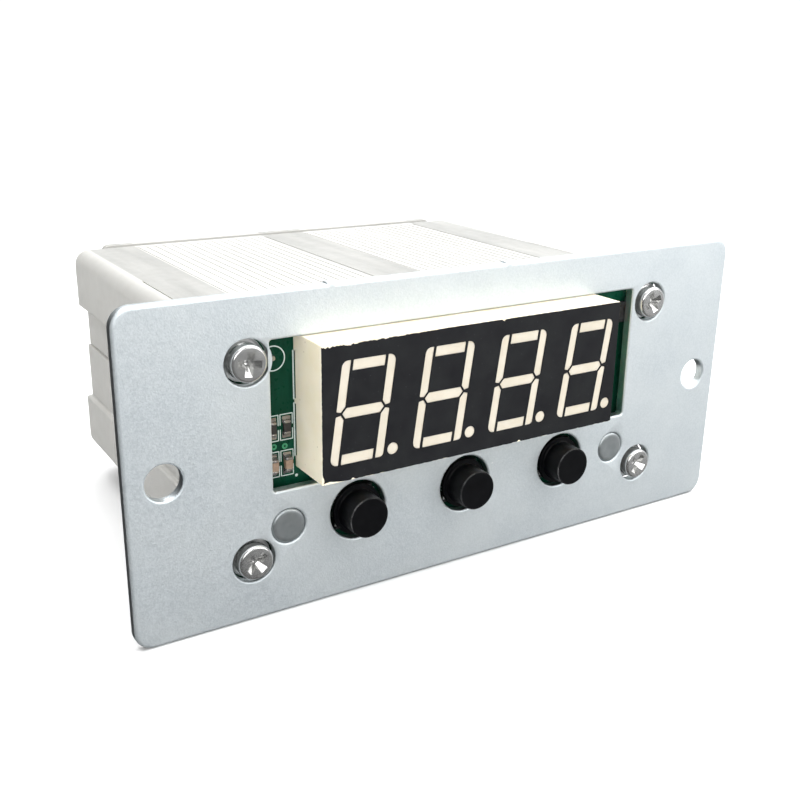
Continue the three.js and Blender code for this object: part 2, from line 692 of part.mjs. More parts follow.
// The rear cover: a plate behind the case with a rim that plugs into it, and the terminals' window.
function rearCover() {
  const { halfWidth, corner } = REAR_COVER;
  const front = CASE.rear;
  const plate = slab(roundedRectangle(2 * halfWidth, 2 * CASE.halfHeight, corner), front, REAR_FACE);
  const { depth, wall } = REAR_PLUG;
  const plugWidth = 2 * (REAR_FLANGE.inner - REAR_PLUG.gap);
  const plugHeight = 2 * (CASE.halfHeight - CASE.wall - REAR_PLUG.gap);
  const plug = cut(
    centredBox(plugWidth, [front - depth, front + FIT], plugHeight),
    centredBox(plugWidth - 2 * wall, [front - depth - PAST, front], plugHeight - 2 * wall),
  );
  const { width, centreZ } = terminalFrame();
  const { height, gap } = TERMINAL;
  const span = [front - PAST, REAR_FACE + PAST];
  const opening = centredBox(width + 2 * gap, span, height + 2 * gap, 0, centreZ);
  const holes = SIDES.map(([, side]) => rod(COVER_SCREW.radius + 2 * FIT, ...span, side * COVER_SCREW.x, 0));
  return cut(join(plate, plug), opening, ...holes);
}

function caseGroup() {
  const coverScrew = panHeadScrew(COVER_SCREW, 0, COVER_SCREW_RECESS);
  // The cover's screws face backwards, so each is turned about and set against the rear face.
  const screws = SIDES.map(([side, sign]) => {
    const screw = piece(`cover_screw_${side}`, coverScrew, "steel", sign * COVER_SCREW.x, 0);
    screw.rotation.x = Math.PI;
    screw.position.y = REAR_FACE;
    return screw;
  });
  return group(
    piece("upper_case", caseShell(1), "caseWhite"),
    piece("lower_case", caseShell(-1), "caseWhite"),
    piece("rear_cover", rearCover(), "caseWhite"),
    ...screws,
  );
}

// ---- Main board and what stands on it -------------------------------------------------------------

function mainBoard() {
  const { halfWidth, front, back, bottom } = MAIN_BOARD;
  return box([-halfWidth, halfWidth], [front, back], [bottom, MAIN_BOARD_TOP]);
}

// A right-angle header: a bar on the main board, with pins that reach through the display board.
function linkHeader() {
  const { pins, pitch, pinSide, z, bar } = LINK;
  const half = (pins * pitch) / 2;
  const { front } = MAIN_BOARD;
  const body = box([-half, half], [front, front + bar], [MAIN_BOARD_TOP, MAIN_BOARD_TOP + bar]);
  const pinSpan = [DISPLAY_BOARD.front - pinSide, front + pinSide];
  return join(body, ...evenlySpaced(pins, pitch).map((x) => centredBox(pinSide, pinSpan, pinSide, x, z)));
}

// The laminated core: an outer frame and a middle leg, with a window on each side of the leg.
function transformerCore() {
  const { width, stack, height, leg, side } = CORE;
  const windowWidth = (width - leg) / 2 - side;
  const frame = box([-width / 2, width / 2], [-stack / 2, stack / 2], [0, height]);
  const windows = SIDES.map(([, sign]) => {
    const across = inOrder((sign * leg) / 2, sign * (leg / 2 + windowWidth));
    return box(across, [-stack, stack], [side, height - side]);
  });
  return cut(frame, ...windows);
}

// The winding and its bobbin: a ring round the middle leg that fills both windows.
function transformerWinding() {
  const { width, stack, height, leg, side, gap } = CORE;
  const build = (width - leg) / 2 - side - gap;
  const [bottom, top] = [side + gap, height - side - gap];
  const outline = roundedRectangle(leg + 2 * build, stack + 2 * build, build / 2);
  const settings = { depth: top - bottom, bevelEnabled: false, curveSegments: 3 };
  const wound = new THREE.ExtrudeGeometry(outline, settings).translate(0, 0, bottom);
  const [halfLeg, halfStack] = [leg / 2 + gap, stack / 2 + gap];
  return cut(wound, box([-halfLeg, halfLeg], [-halfStack, halfStack], [bottom - PAST, top + PAST]));
}

function terminalFrame() {
  return {
    width: TERMINAL.poles * TERMINAL.pitch + 1,
    centreZ: MAIN_BOARD_TOP + TERMINAL.height / 2,
  };
}

const poleX = evenlySpaced(TERMINAL.poles, TERMINAL.pitch);

// The terminal block: a screw well and a wire mouth for each pole, both open to the rear.
function terminalHousing() {
  const { width, centreZ } = terminalFrame();
  const block = centredBox(width, [TERMINAL.front, REAR_FACE], TERMINAL.height, 0, centreZ);
  const back = REAR_FACE + PAST;
  const { radius, depth: wellDepth } = TERMINAL_WELL;
  const wells = poleX.map((x) => rod(radius, REAR_FACE - wellDepth, back, x, TERMINAL.screwZ, 16));
  const mouthSpan = [REAR_FACE - TERMINAL_MOUTH.depth, back];
  const mouths = poleX.map((x) =>
    centredBox(TERMINAL_MOUTH.width, mouthSpan, TERMINAL_MOUTH.height, x, TERMINAL.mouthZ),
  );
  return cut(block, ...wells, ...mouths);
}

// A terminal screw with a slotted head, in the bottom of its well.
function terminalScrew() {
  const { radius, height, slotWidth, slotDepth } = TERMINAL_SCREW;
  const seat = REAR_FACE - TERMINAL_WELL.depth;
  const top = seat + height;
  const slot = centredBox(slotWidth, [top - slotDepth, top + PAST], 2 * radius + PAST);
  return cut(rod(radius, seat, top, 0, 0, 16), slot);
}

// A piece that stands at x and y on a surface at height z.
function standing(name, geometry, materialName, { x, y }, z = MAIN_BOARD_TOP) {
  const mesh = piece(name, geometry, materialName);
  mesh.position.set(x, y, z);
  return mesh;
}

function relay() {
  const { width, length, height } = RELAY;
  return box([-width / 2, width / 2], [-length / 2, length / 2], [0, height]);
}

function electrolyticCan() {
  const { radius, height } = SMOOTHING_CAPACITOR;
  const can = new THREE.CylinderGeometry(radius, radius, height, 24);
  return can.rotateX(Math.PI / 2).translate(0, 0, height / 2);
}

function electronicsGroup() {
  const coreBottom = MAIN_BOARD_TOP + TRANSFORMER.lift;
  return group(
    piece("main_board", mainBoard(), "circuitBoard"),
    piece("link_header", linkHeader(), "chipBlack"),
    standing("controller_chip", leadedChip(CONTROLLER_CHIP), "chipBlack", CONTROLLER_CHIP),
    standing("output_relay", relay(), "relayBlue", RELAY),
    standing("transformer_core", transformerCore(), "coreSteel", TRANSFORMER, coreBottom),
    standing("transformer_winding", transformerWinding(), "windingTape", TRANSFORMER, coreBottom),
    standing("smoothing_capacitor", electrolyticCan(), "capacitorSleeve", SMOOTHING_CAPACITOR),
    piece("terminal_housing", terminalHousing(), "terminalGreen"),
    ...poleX.map((x, index) =>
      piece(`terminal_screw_${index + 1}`, terminalScrew(), "steel", x, TERMINAL.screwZ),
    ),
  );
}

// ---- The whole instrument -------------------------------------------------------------------------

const instrument = group(
  plateGroup(),
  boardScrewGroup(),
  displayGroup(),
  displayBoardGroup(),
  ...BUTTON_SIDES.map(buttonGroup),
  caseGroup(),
  electronicsGroup(),
);
const farthestBack = REAR_FACE + COVER_SCREW.headHeight;
instrument.position.set(0, (DISPLAY.proud - farthestBack) / 2, PLATE.height / 2);

export default group(instrument);
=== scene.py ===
"""Looks for a panel instrument with a four-digit display, round buttons and a ribbed case.

Every shape is drawn in millimetres from the middle of the face plate's front, with +X to the right,
+Y into the case and +Z up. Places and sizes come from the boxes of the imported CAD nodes, and the
constants below add the details that a box doesn't tell.
"""

from math import atan2, cos, degrees, exp, pi, radians, sin, tan

import bmesh
import bpy
from mathutils import Matrix, Vector, noise


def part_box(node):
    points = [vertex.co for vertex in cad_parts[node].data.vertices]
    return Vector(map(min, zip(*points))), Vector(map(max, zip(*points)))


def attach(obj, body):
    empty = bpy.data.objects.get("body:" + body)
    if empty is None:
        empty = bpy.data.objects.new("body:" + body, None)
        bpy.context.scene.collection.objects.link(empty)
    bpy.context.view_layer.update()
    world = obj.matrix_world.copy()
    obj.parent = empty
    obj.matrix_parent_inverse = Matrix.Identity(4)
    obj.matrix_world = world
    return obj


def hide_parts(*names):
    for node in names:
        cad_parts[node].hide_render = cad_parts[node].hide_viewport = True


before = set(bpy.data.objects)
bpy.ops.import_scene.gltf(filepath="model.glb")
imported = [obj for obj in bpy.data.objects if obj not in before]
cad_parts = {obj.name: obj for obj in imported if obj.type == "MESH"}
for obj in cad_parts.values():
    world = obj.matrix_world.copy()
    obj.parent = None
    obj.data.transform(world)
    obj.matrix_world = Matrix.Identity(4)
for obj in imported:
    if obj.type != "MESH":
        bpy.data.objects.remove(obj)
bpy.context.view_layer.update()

# ---- Dimensions, in millimetres ----

MM = 0.001
CORNERS = ("upper_left", "upper_right", "lower_left", "lower_right")
SIDES = {"left": -1, "right": 1}
BUTTONS = ("left", "middle", "right")

CAMERA_PLACE = (-82.6, -112.6, 50.7)
CAMERA_AZIMUTH = 32.03
CAMERA_ELEVATION = 18.92
CAMERA_ROLL = 0.83
CAMERA_LENS = 45.28
SKY_BRIGHT_SIDE = (0.61, 0.0, 0.79)
SKY_DARK_FROM = -0.31
SKY_DARKEST = 0.05
SKY_BRIGHTEST = 0.85
SKY_AS_SEEN = 1.1
OVERHEAD_LIGHT = 5.0
FRONT_LIGHT = 11.3
RIGHT_LIGHT = 5
LIGHTS_AIM = (0, 0, 0.02)
FLOOR_DROP = 0.05

PLATE_CORNER = 2.6
PLATE_ROUND = 0.5
NUB_PROUD = 0.25
NUB_WIDTH = 1.4
NUB_PLACES = (6.1, -22.7)
NUB_SHAPE = ((-0.5, 0), (-0.42, 0.9), (0.1, 1), (0.4, 0.75), (0.5, 0))
PUNCH_ROUND = 0.3
MOUNTING_HOLE_X = 46.5
MOUNTING_HOLE_RADIUS = 2.5
SCREW_HOLE_RADIUS = 3.1
BUTTON_HOLE_RADIUS = 4.4
STUD_HOLE_GAP = 0.03
STUD_SHANK = 1.5
STUD_TIP = 0.4
SCREW_SHANK = 1.5
SCREW_RECESS = 1.1
SCREW_TURNS = (8, -24, 50, 33)
COVER_SCREW_SHANK = 1.25
COVER_SCREW_RECESS = 0.95
COVER_SCREW_TURNS = (20, -35)
COVER_HOLE_RADIUS = 1.4
BOARD_HOLE_RADIUS = 1.65
WINDOW = {"left": -31.7, "right": 30.9, "bottom": -4.6, "top": 16.4, "corner": 0.4}

DIGIT = {"count": 4, "pitch": 12.7, "width": 8.1, "height": 14.2, "stroke": 1.45, "gap": 0.36}
DIGIT_SLANT = tan(radians(8))
POINT_RADIUS = 0.85
POINT_FROM_DIGIT = 4.55
FILM_THICKNESS = 0.1
FILM_STEP = 0.2
# The film's edges, anticlockwise from the bottom: how far each is cut back, how uneven it is, the seed
# of that unevenness, and its nicks as (share of the edge, depth, width as a share).
FILM_EDGES = (
    (0.05, 0.12, 1.3, ((0.02, 0.3, 0.03), (0.09, 0.28, 0.004), (0.643, 0.3, 0.004))),
    (0.03, 0.05, 5.1, ()),
    (0.06, 0.08, 8.7, ((0.432, 0.3, 0.004),)),
    (0.03, 0.07, 9.4, ((0.97, 0.25, 0.03),)),
)
SEGMENT_SET_BACK = 0.08
HOUSING_WALL = 0.8
HOUSING_FOOT = 0.5
HOUSING_GAPS = ((7.1, 13.9), (-1.1, 6.5))

CHIPS = [f"chip_{kind}_{place}" for kind in ("resistor", "capacitor") for place in ("inner", "outer")]
BRACKET_GAP = 0.35
PAD_REACH = 0.55
FIDUCIAL = (-30.1, 13.1)
LEFT_VIAS = [(-28.7, 0.6), (-30.3, 0.75)]
RIGHT_VIAS = [(25.0, 12.6), (26.3, 7.4), (24.6, 3.1), (27.2, 1.0), (25.4, -1.9), (28.9, 5.2), (29.3, -2.4)]
LEFT_LINES = ((13.8, 7.1), (6.5, -1.05))
RIGHT_LINES = ((9.5, 7.1), (4.5, 2.1), (-0.5, -2.9))

CAP_RADIUS = 3.0
CAP_ROUND = 0.16
CAP_BORE = 1.56
CAP_BORE_END = 1.5
CAP_FOOT_FRONT = 0.2

RIB_INNER = 4.3
RIB_COUNT = 17
RIB_PITCH = 1.525
RIB_OUTER = RIB_INNER + RIB_PITCH * (RIB_COUNT - 1)
RIB_SLOT = 0.5
RIB_DEPTH = 0.07
RIB_START = 7.0
RIB_END = 61.5
SEAM_X = 36.8
SEAM_WIDTH = 0.24
SEAM_DEPTH = 0.2
SEAM_END = 34.0
CASE_CORNER = 2.4
CASE_WALL = 2.0
PARTING_Z = 1.3
CHANNEL_EDGE = {1: 8.3, -1: -8.2}
CHANNEL_DEPTH = {1: 1.4, -1: 1.0}
CHANNEL_INSIDE = 1.2
PARTING_GAP = 0.03
FLANGE_INNER = 33.0
FLANGE_THICKNESS = 2.0
FLANGE_INSET = 1.0
COVER_GAP = 0.3
COVER_PROUD = 0.35
PLUG_HALF_WIDTH = 32.7
PLUG_HALF_HEIGHT = 15.7
PLUG_WALL = 1.5
TERMINAL_GAP = 0.3


def middle_of_plate():
    """The middle of the face plate's front, in the frame's metres. The edge nubs stand above the plate."""
    low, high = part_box("front_plate")
    return Vector(((low.x + high.x) / 2, low.y, (low.z + high.z - NUB_PROUD * MM) / 2))


ORIGIN = middle_of_plate()


class Extent:
    """The box of a CAD node, in millimetres from the middle of the face plate's front."""

    def __init__(self, node):
        low, high = ((corner - ORIGIN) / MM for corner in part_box(node))
        self.left, self.front, self.bottom = low
        self.right, self.back, self.top = high
        self.x, self.y, self.z = (low + high) / 2
        self.width, self.depth, self.height = high - low

    def outline(self, corner=0.0, steps=5):
        """The box as seen from the front, with rounded corners."""
        return rectangle(self.left, self.right, self.bottom, self.top, corner, steps)


PLATE = Extent("front_plate")
FACE = Extent("display_face")
HOUSING = Extent("display_housing")
BOARD = Extent("display_board")
UPPER_CASE = Extent("upper_case")
LOWER_CASE = Extent("lower_case")
COVER = Extent("rear_cover")
STUDS = [Extent(f"plate_stud_{side}") for side in SIDES]
SCREWS = [Extent(f"board_screw_{place}") for place in CORNERS]
CAPS = [Extent(f"button_cap_{side}") for side in BUTTONS]
CASES = {1: UPPER_CASE, -1: LOWER_CASE}
CASE_SURFACES = {1: UPPER_CASE.top, -1: LOWER_CASE.bottom}

# ---- Outlines: lists of 2D points, anticlockwise, with x to the right and z up ----


def arc(centre, radius, start, end, steps):
    """Points on a circle from one angle to another, in degrees."""
    x, z = centre
    angles = [radians(start + (end - start) * step / steps) for step in range(steps + 1)]
    return [Vector((x + radius * cos(angle), z + radius * sin(angle))) for angle in angles]


def circle(x, z, radius, steps=72):
    """A closed outline round a point."""
    return arc((x, z), radius, 0, 360, steps)[:-1]


def rounded(corners, steps=5):
    """A closed outline through corners of (x, z) or (x, z, radius), with each radius as an arc."""
    points = []
    for index, corner in enumerate(corners):
        here = Vector(corner[:2])
        radius = corner[2] if len(corner) > 2 else 0
        if not radius:
            points.append(here)
            continue
        before = (Vector(corners[index - 1][:2]) - here).normalized()
        after = (Vector(corners[(index + 1) % len(corners)][:2]) - here).normalized()
        half_angle = before.angle(after) / 2
        centre = here + (before + after).normalized() * radius / sin(half_angle)
        reach = radius / tan(half_angle)
        start = here + before * reach - centre
        end = here + after * reach - centre
        start_angle = degrees(atan2(start.y, start.x))
        turn = degrees(atan2(end.y, end.x)) - start_angle
        turn = (turn + 180) % 360 - 180
        points += arc(centre, radius, start_angle, start_angle + turn, steps)
    return points


def rectangle(left, right, bottom, top, corner=0.0, steps=5):
    """An upright rectangle with rounded corners."""
    ends = [(left, bottom), (right, bottom), (right, top), (left, top)]
    return rounded([(x, z, corner) for x, z in ends], steps)


def drawn_in(loop, inset):
    """A closed anticlockwise outline moved inwards by inset, or outwards where inset is negative."""
    inner = []
    for index, point in enumerate(loop):
        before = (point - loop[index - 1]).normalized()
        after = (loop[(index + 1) % len(loop)] - point).normalized()
        across = before.orthogonal() + after.orthogonal()
        inner.append(point + across * inset / (1 + before.dot(after)))
    return inner


def quarter_arc(across, along, steps):
    """A quarter of an ellipse as (inset, y) pairs, from the face at y = 0 to the side at inset 0."""
    angles = [pi / 2 * step / steps for step in range(steps + 1)]
    return [(across * (1 - sin(angle)), along * (1 - cos(angle))) for angle in angles]


def round_edge(radius, front, back, back_radius=0.0, steps=4):
    """The rim of a sheet as (inset, y) pairs: an arc at the front, a straight side, an arc at the back."""
    rim = [(inset, front + y) for inset, y in quarter_arc(radius, radius, steps)]
    if not back_radius:
        return [*rim, (0.0, back)]
    arc_behind = [(y, back - inset) for inset, y in quarter_arc(back_radius, back_radius, steps)]
    return rim + arc_behind


# ---- Solids: bmeshes in millimetres ----


def bridge(bm, rings):
    """Faces between rings of vertices that follow each other."""
    for near, far in zip(rings, rings[1:]):
        count = len(near)
        for index in range(count):
            following = (index + 1) % count
            bm.faces.new((near[index], near[following], far[following], far[index]))


def sheet(outer, rim, holes=(), hole_rim=None):
    """A flat body across Y: an outline with holes, each edge shaped by a rim of (inset, y) pairs."""
    bm = bmesh.new()
    ends = ([], [])
    for loop, profile, sign in [(outer, rim, 1)] + [(hole, hole_rim, -1) for hole in holes]:
        rings = [
            [bm.verts.new((point.x, y, point.y)) for point in drawn_in(loop, sign * inset)]
            for inset, y in profile
        ]
        bridge(bm, rings)
        for end, ring in zip(ends, (rings[0], rings[-1])):
            end += [bm.edges.get(pair) for pair in zip(ring, ring[1:] + ring[:1])]
    for end in ends:
        bmesh.ops.triangle_fill(bm, edges=end, use_beauty=True)
    bmesh.ops.recalc_face_normals(bm, faces=bm.faces)
    return bm


def turned(profile, steps=72):
    """A body turned about Y from (radius, y) pairs; a radius of 0 is a point on the axis."""
    bm = bmesh.new()
    rings = []
    for radius, y in profile:
        if radius < 1e-6:
            rings.append([bm.verts.new((0, y, 0))])
            continue
        angles = [2 * pi * step / steps for step in range(steps)]
        ring = [(radius * cos(angle), y, radius * sin(angle)) for angle in angles]
        rings.append([bm.verts.new(point) for point in ring])
    for near, far in zip(rings, rings[1:]):
        for index in range(steps):
            following = (index + 1) % steps
            corners = [near[index % len(near)], near[following % len(near)]]
            corners += [far[following % len(far)], far[index % len(far)]]
            bm.faces.new(dict.fromkeys(corners))
    bmesh.ops.recalc_face_normals(bm, faces=bm.faces)
    return bm


def block(x, y, z, edge=0.0, steps=3):
    """A box between pairs of values, with its edges rounded."""
    bm = bmesh.new()
    bmesh.ops.create_cube(bm, size=1)
    size = Vector((x[1] - x[0], y[1] - y[0], z[1] - z[0]))
    centre = Vector((x[0] + x[1], y[0] + y[1], z[0] + z[1])) / 2
    bm.transform(Matrix.Translation(centre) @ Matrix.Diagonal((*size, 1)))
    if edge:
        bmesh.ops.bevel(bm, geom=bm.edges, offset=edge, segments=steps, profile=0.5, affect="EDGES")
    return bm


def moved(bm, x, y, z):
    """A body after a shift."""
    bm.transform(Matrix.Translation((x, y, z)))
    return bm


def as_mesh(bm, name):
    """A bmesh turned into a mesh, which uses the bmesh up."""
    mesh = bpy.data.meshes.new(name)
    bm.to_mesh(mesh)
    bm.free()
    return mesh


def in_scene(name, data):
    """A new object in the scene, from a mesh, a light or a camera."""
    made = bpy.data.objects.new(name, data)
    bpy.context.scene.collection.objects.link(made)
    return made


def together(*parts):
    """Several bodies in one bmesh."""
    whole = bmesh.new()
    for part in parts:
        mesh = as_mesh(part, "part")
        whole.from_mesh(mesh)
        bpy.data.meshes.remove(mesh)
    return whole


def carved(bm, *cutters):
    """A body with each cutter taken away from it."""
    base, *tools = [in_scene("tool", as_mesh(part, "tool")) for part in (bm, *cutters)]
    for tool in tools:
        modifier = base.modifiers.new("carve", "BOOLEAN")
        modifier.operation = "DIFFERENCE"
        modifier.solver = "EXACT"
        modifier.object = tool
    bpy.context.view_layer.update()
    shaped = bpy.data.meshes.new_from_object(base.evaluated_get(bpy.context.evaluated_depsgraph_get()))
    result = bmesh.new()
    result.from_mesh(shaped)
    for made in [base, *tools]:
        bpy.data.meshes.remove(made.data)
    bpy.data.meshes.remove(shaped)
    return result


# ---- Pieces ----


def add_piece(name, bm, material, replaces=(), body="body", crease=32):
    """A body as a finished piece of the object, with flat faces kept flat and round ones smooth."""
    mesh = as_mesh(bm, name)
    mesh.transform(Matrix.Translation(ORIGIN) @ Matrix.Scale(MM, 4))
    mesh.shade_smooth()
    mesh.set_sharp_from_angle(angle=radians(crease))
    mesh.materials.append(material)
    piece = in_scene(name, mesh)
    even = piece.modifiers.new("even_shading", "WEIGHTED_NORMAL")
    even.keep_sharp = True
    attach(piece, body)
    if replaces:
        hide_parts(*replaces)
    return piece


def refine(node, material, edge=0.12):
    """Keeps a CAD node, with its edges broken and a finish of its own."""
    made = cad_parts[node]
    made.data.materials.clear()
    made.data.materials.append(material)
    made.data.shade_smooth()
    weld = made.modifiers.new("weld", "WELD")
    weld.merge_threshold = 1e-6
    flatten = made.modifiers.new("flatten", "DECIMATE")
    flatten.decimate_type = "DISSOLVE"
    flatten.angle_limit = radians(1)
    bevel = made.modifiers.new("edges", "BEVEL")
    bevel.width = edge * MM
    bevel.segments = 2
    bevel.limit_method = "ANGLE"
    bevel.angle_limit = radians(40)
    bevel.harden_normals = True


# ---- Materials ----


def rgba(colour):
    """A colour or a grey with full cover."""
    return (*colour, 1) if isinstance(colour, tuple) else (colour, colour, colour, 1)


def add_node(tree, kind, inputs, **settings):
    """A shader node, whose inputs each take a value or a link from another node's socket."""
    node = tree.nodes.new(kind)
    for setting, value in settings.items():
        setattr(node, setting, value)
    for target, source in inputs.items():
        if isinstance(source, bpy.types.NodeSocket):
            tree.links.new(source, node.inputs[target])
        else:
            node.inputs[target].default_value = source
    return node


class Finish:
    """A procedural material, made of noise in the piece's own coordinates."""

    def __init__(self, name, roughness, metallic=0.0, **sockets):
        self.material = bpy.data.materials.new(name)
        self.material.use_nodes = True
        self.tree = self.material.node_tree
        self.surface = self.tree.nodes["Principled BSDF"]
        self.surface.inputs["Roughness"].default_value = roughness
        self.surface.inputs["Metallic"].default_value = metallic
        for socket, value in sockets.items():
            self.surface.inputs[socket.replace("_", " ")].default_value = value
        self.place = self.node("ShaderNodeTexCoord").outputs["Object"]
        self.relief = None

    def node(self, kind, inputs=None, **settings):
        """One node of this material."""
        return add_node(self.tree, kind, inputs or {}, **settings)

    def noise(self, size, detail=3.0, stretch=None):
        """Soft noise from 0 to 1, with blobs about size millimetres across, or stretched by axis."""
        place = self.place
        if stretch:
            place = self.node("ShaderNodeMapping", {"Vector": place, "Scale": stretch}).outputs["Vector"]
        inputs = {"Vector": place, "Scale": 1 / (size * MM), "Detail": detail}
        return self.node("ShaderNodeTexNoise", inputs).outputs["Fac"]

    def ramp(self, factor, *stops):
        """Colours or greys by factor, as (position, colour) stops."""
        ramp = self.node("ShaderNodeValToRGB", {"Fac": factor})
        elements = ramp.color_ramp.elements
        while len(elements) < len(stops):
            elements.new(0.5)
        for element, (position, colour) in zip(elements, stops):
            element.position = position
            element.color = rgba(colour)
        return ramp.outputs["Color"]

    def mottle(self, size, low, high, detail=3.0, stretch=None):
        """Soft patches that go from one colour or grey to another."""
        return self.ramp(self.noise(size, detail, stretch), (0.3, low), (0.7, high))

    def specks(self, spacing, strength, inner, outer):
        """Scattered dots: strength within inner, and 0 past outer, as shares of their spacing."""
        inputs = {"Vector": self.place, "Scale": 1 / (spacing * MM)}
        distance = self.node("ShaderNodeTexVoronoi", inputs).outputs["Distance"]
        return self.ramp(distance, (inner, strength), (outer, 0.0))

    def blend(self, factor, below, above):
        """One colour over another, by factor; each may be a socket, a colour or a grey."""
        inputs = {0: factor}
        for slot, end in ((6, below), (7, above)):
            inputs[slot] = end if isinstance(end, bpy.types.NodeSocket) else rgba(end)
        return self.node("ShaderNodeMix", inputs, data_type="RGBA").outputs[2]

    def axis(self, vector, axis):
        """One axis of a vector."""
        return self.node("ShaderNodeSeparateXYZ", {"Vector": vector}).outputs[axis]

    def unsigned(self, value):
        """A value without its sign."""
        return self.node("ShaderNodeMath", {0: value}, operation="ABSOLUTE").outputs[0]

    def normal(self):
        """The surface's own direction."""
        return self.node("ShaderNodeNewGeometry").outputs["Normal"]

    def edge_mask(self, radius):
        """1 along edges that turn within radius millimetres, and 0 on open faces."""
        bevel = self.node("ShaderNodeBevel", {"Radius": radius * MM}, samples=4)
        normals = {0: bevel.outputs["Normal"], 1: self.normal()}
        match = self.node("ShaderNodeVectorMath", normals, operation="DOT_PRODUCT")
        return self.ramp(match.outputs["Value"], (0.8, 1.0), (0.99, 0.0))

    def facing(self, axis):
        """1 where the surface faces along an axis, either way, and 0 where it runs along it."""
        return self.unsigned(self.axis(self.normal(), axis))

    def ahead_of(self, place, fade=0.5):
        """1 in front of a place along Y, in millimetres behind the plate's front, and 0 behind it."""
        inputs = {"Value": self.axis(self.place, "Y"), "To Min": 1, "To Max": 0}
        inputs["From Min"] = ORIGIN.y + (place - fade) * MM
        inputs["From Max"] = ORIGIN.y + place * MM
        return self.node("ShaderNodeMapRange", inputs).outputs["Result"]

    def smooth_bands(self, fade=0.004):
        """1 on the unribbed bands of the case's top and bottom, and 0 on its ribs and sides."""
        half_width = UPPER_CASE.width / 2
        reach = self.unsigned(self.axis(self.place, "X"))
        share = self.node("ShaderNodeMapRange", {"Value": reach, "From Max": half_width * MM})
        inner, outer, seam = [edge / half_width for edge in (RIB_INNER, RIB_OUTER, SEAM_X)]
        stops = [(inner, 1.0), (inner + fade, 0.0), (outer, 0.0), (outer + fade, 1.0)]
        across = self.ramp(share.outputs["Result"], *stops, (seam - fade, 1.0), (seam, 0.0))
        return self.blend(self.ramp(self.facing("Z"), (0.9, 0.0), (0.97, 1.0)), 0.0, across)

    def drive(self, socket, source):
        """Lets a source set one of the surface's values."""
        self.tree.links.new(source, self.surface.inputs[socket])

    def colour(self, source):
        """Lets a source set the surface's colour."""
        self.drive("Base Color", source)

    def roughness(self, source):
        """Lets a source set how matt the surface is."""
        self.drive("Roughness", source)

    def let_light_in(self, share, depth, colours):
        """Makes a share of the surface translucent, to a depth in millimetres that differs by colour."""
        self.surface.inputs["Subsurface Weight"].default_value = share
        self.surface.inputs["Subsurface Scale"].default_value = depth * MM
        self.surface.inputs["Subsurface Radius"].default_value = colours

    def bump(self, source, depth, strength):
        """Adds relief of about depth millimetres."""
        inputs = {"Height": source, "Distance": depth * MM, "Strength": strength}
        if self.relief:
            inputs["Normal"] = self.relief
        self.relief = self.node("ShaderNodeBump", inputs).outputs["Normal"]
        self.drive("Normal", self.relief)


def plate_aluminium():
    """Bead-blasted sheet: a fine grain, faint clouding, a few pale specks, and bright sheared walls."""
    finish = Finish("plate_aluminium", 0.5, metallic=0.75)
    grain = finish.noise(0.28)
    tone = finish.mottle(9, (0.60, 0.655, 0.68), (0.67, 0.72, 0.735))
    speckled = finish.blend(finish.ramp(grain, (0.35, 0.0), (0.65, 0.4)), tone, (0.80, 0.84, 0.86))
    specks = finish.specks(9, 0.55, 0.012, 0.02)
    finish.colour(finish.blend(specks, speckled, (0.93, 0.94, 0.94)))
    cut_walls = finish.ramp(finish.facing("Y"), (0.2, 1.0), (0.5, 0.0))
    finish.drive("Metallic", finish.blend(cut_walls, 0.75, 1.0))
    blasted = finish.ramp(grain, (0.3, 0.46), (0.7, 0.6))
    finish.roughness(finish.blend(cut_walls, blasted, 0.34))
    finish.bump(finish.noise(0.22, 2), 0.03, 0.7)
    finish.bump(finish.noise(0.7, 2), 0.012, 0.5)
    return finish.material


def stud_steel():
    """The stud's clinched head: smoother and greyer than the plate, with faint turning marks."""
    finish = Finish("stud_steel", 0.32, metallic=0.9)
    finish.colour(finish.mottle(1.2, (0.36, 0.39, 0.40), (0.44, 0.47, 0.475)))
    finish.roughness(finish.mottle(0.3, 0.36, 0.46))
    finish.bump(finish.noise(0.15), 0.004, 0.5)
    return finish.material


def bright_metal(name, dark, light, smooth=0.2, rough=0.36):
    """Plated metal with faint stains and fine scratches."""
    finish = Finish(name, (smooth + rough) / 2, metallic=0.9)
    finish.colour(finish.mottle(1.5, dark, light, 1))
    finish.roughness(finish.mottle(0.8, smooth, rough, 1))
    finish.bump(finish.noise(1.5, 1), 0.004, 0.3)
    return finish.material


def display_ivory():
    """The display's cast ivory body: warm, a little translucent, with dust pits and yellowing."""
    finish = Finish("display_ivory", 0.42)
    finish.let_light_in(0.25, 0.5, (1.0, 0.7, 0.4))
    tone = finish.mottle(5, (0.86, 0.775, 0.58), (0.93, 0.86, 0.71))
    pits = finish.specks(1.5, 0.7, 0.05, 0.09)
    finish.colour(finish.blend(pits, tone, (0.42, 0.35, 0.24)))
    finish.roughness(finish.mottle(0.8, 0.36, 0.52))
    finish.bump(finish.noise(0.6), 0.02, 0.4)
    return finish.material


def display_black():
    """The printed black film on the display's face: satin, with fine dust."""
    finish = Finish("display_black", 0.36, Specular_IOR_Level=0.2)
    tone = finish.mottle(4, (0.008, 0.008, 0.010), (0.013, 0.014, 0.015))
    dust = finish.specks(0.8, 0.35, 0.03, 0.07)
    finish.colour(finish.blend(dust, tone, (0.14, 0.14, 0.15)))
    finish.roughness(finish.mottle(1.5, 0.3, 0.44))
    finish.bump(finish.noise(0.25), 0.006, 0.5)
    return finish.material


def segment_epoxy():
    """The diffusing epoxy in the segments: pale, grainy and slightly translucent."""
    finish = Finish("segment_epoxy", 0.4)
    finish.let_light_in(0.3, 0.4, (1.0, 0.75, 0.5))
    finish.colour(finish.mottle(2.5, (0.57, 0.495, 0.385), (0.62, 0.545, 0.435)))
    finish.roughness(finish.mottle(0.5, 0.34, 0.5))
    finish.bump(finish.noise(0.2), 0.008, 0.5)
    return finish.material


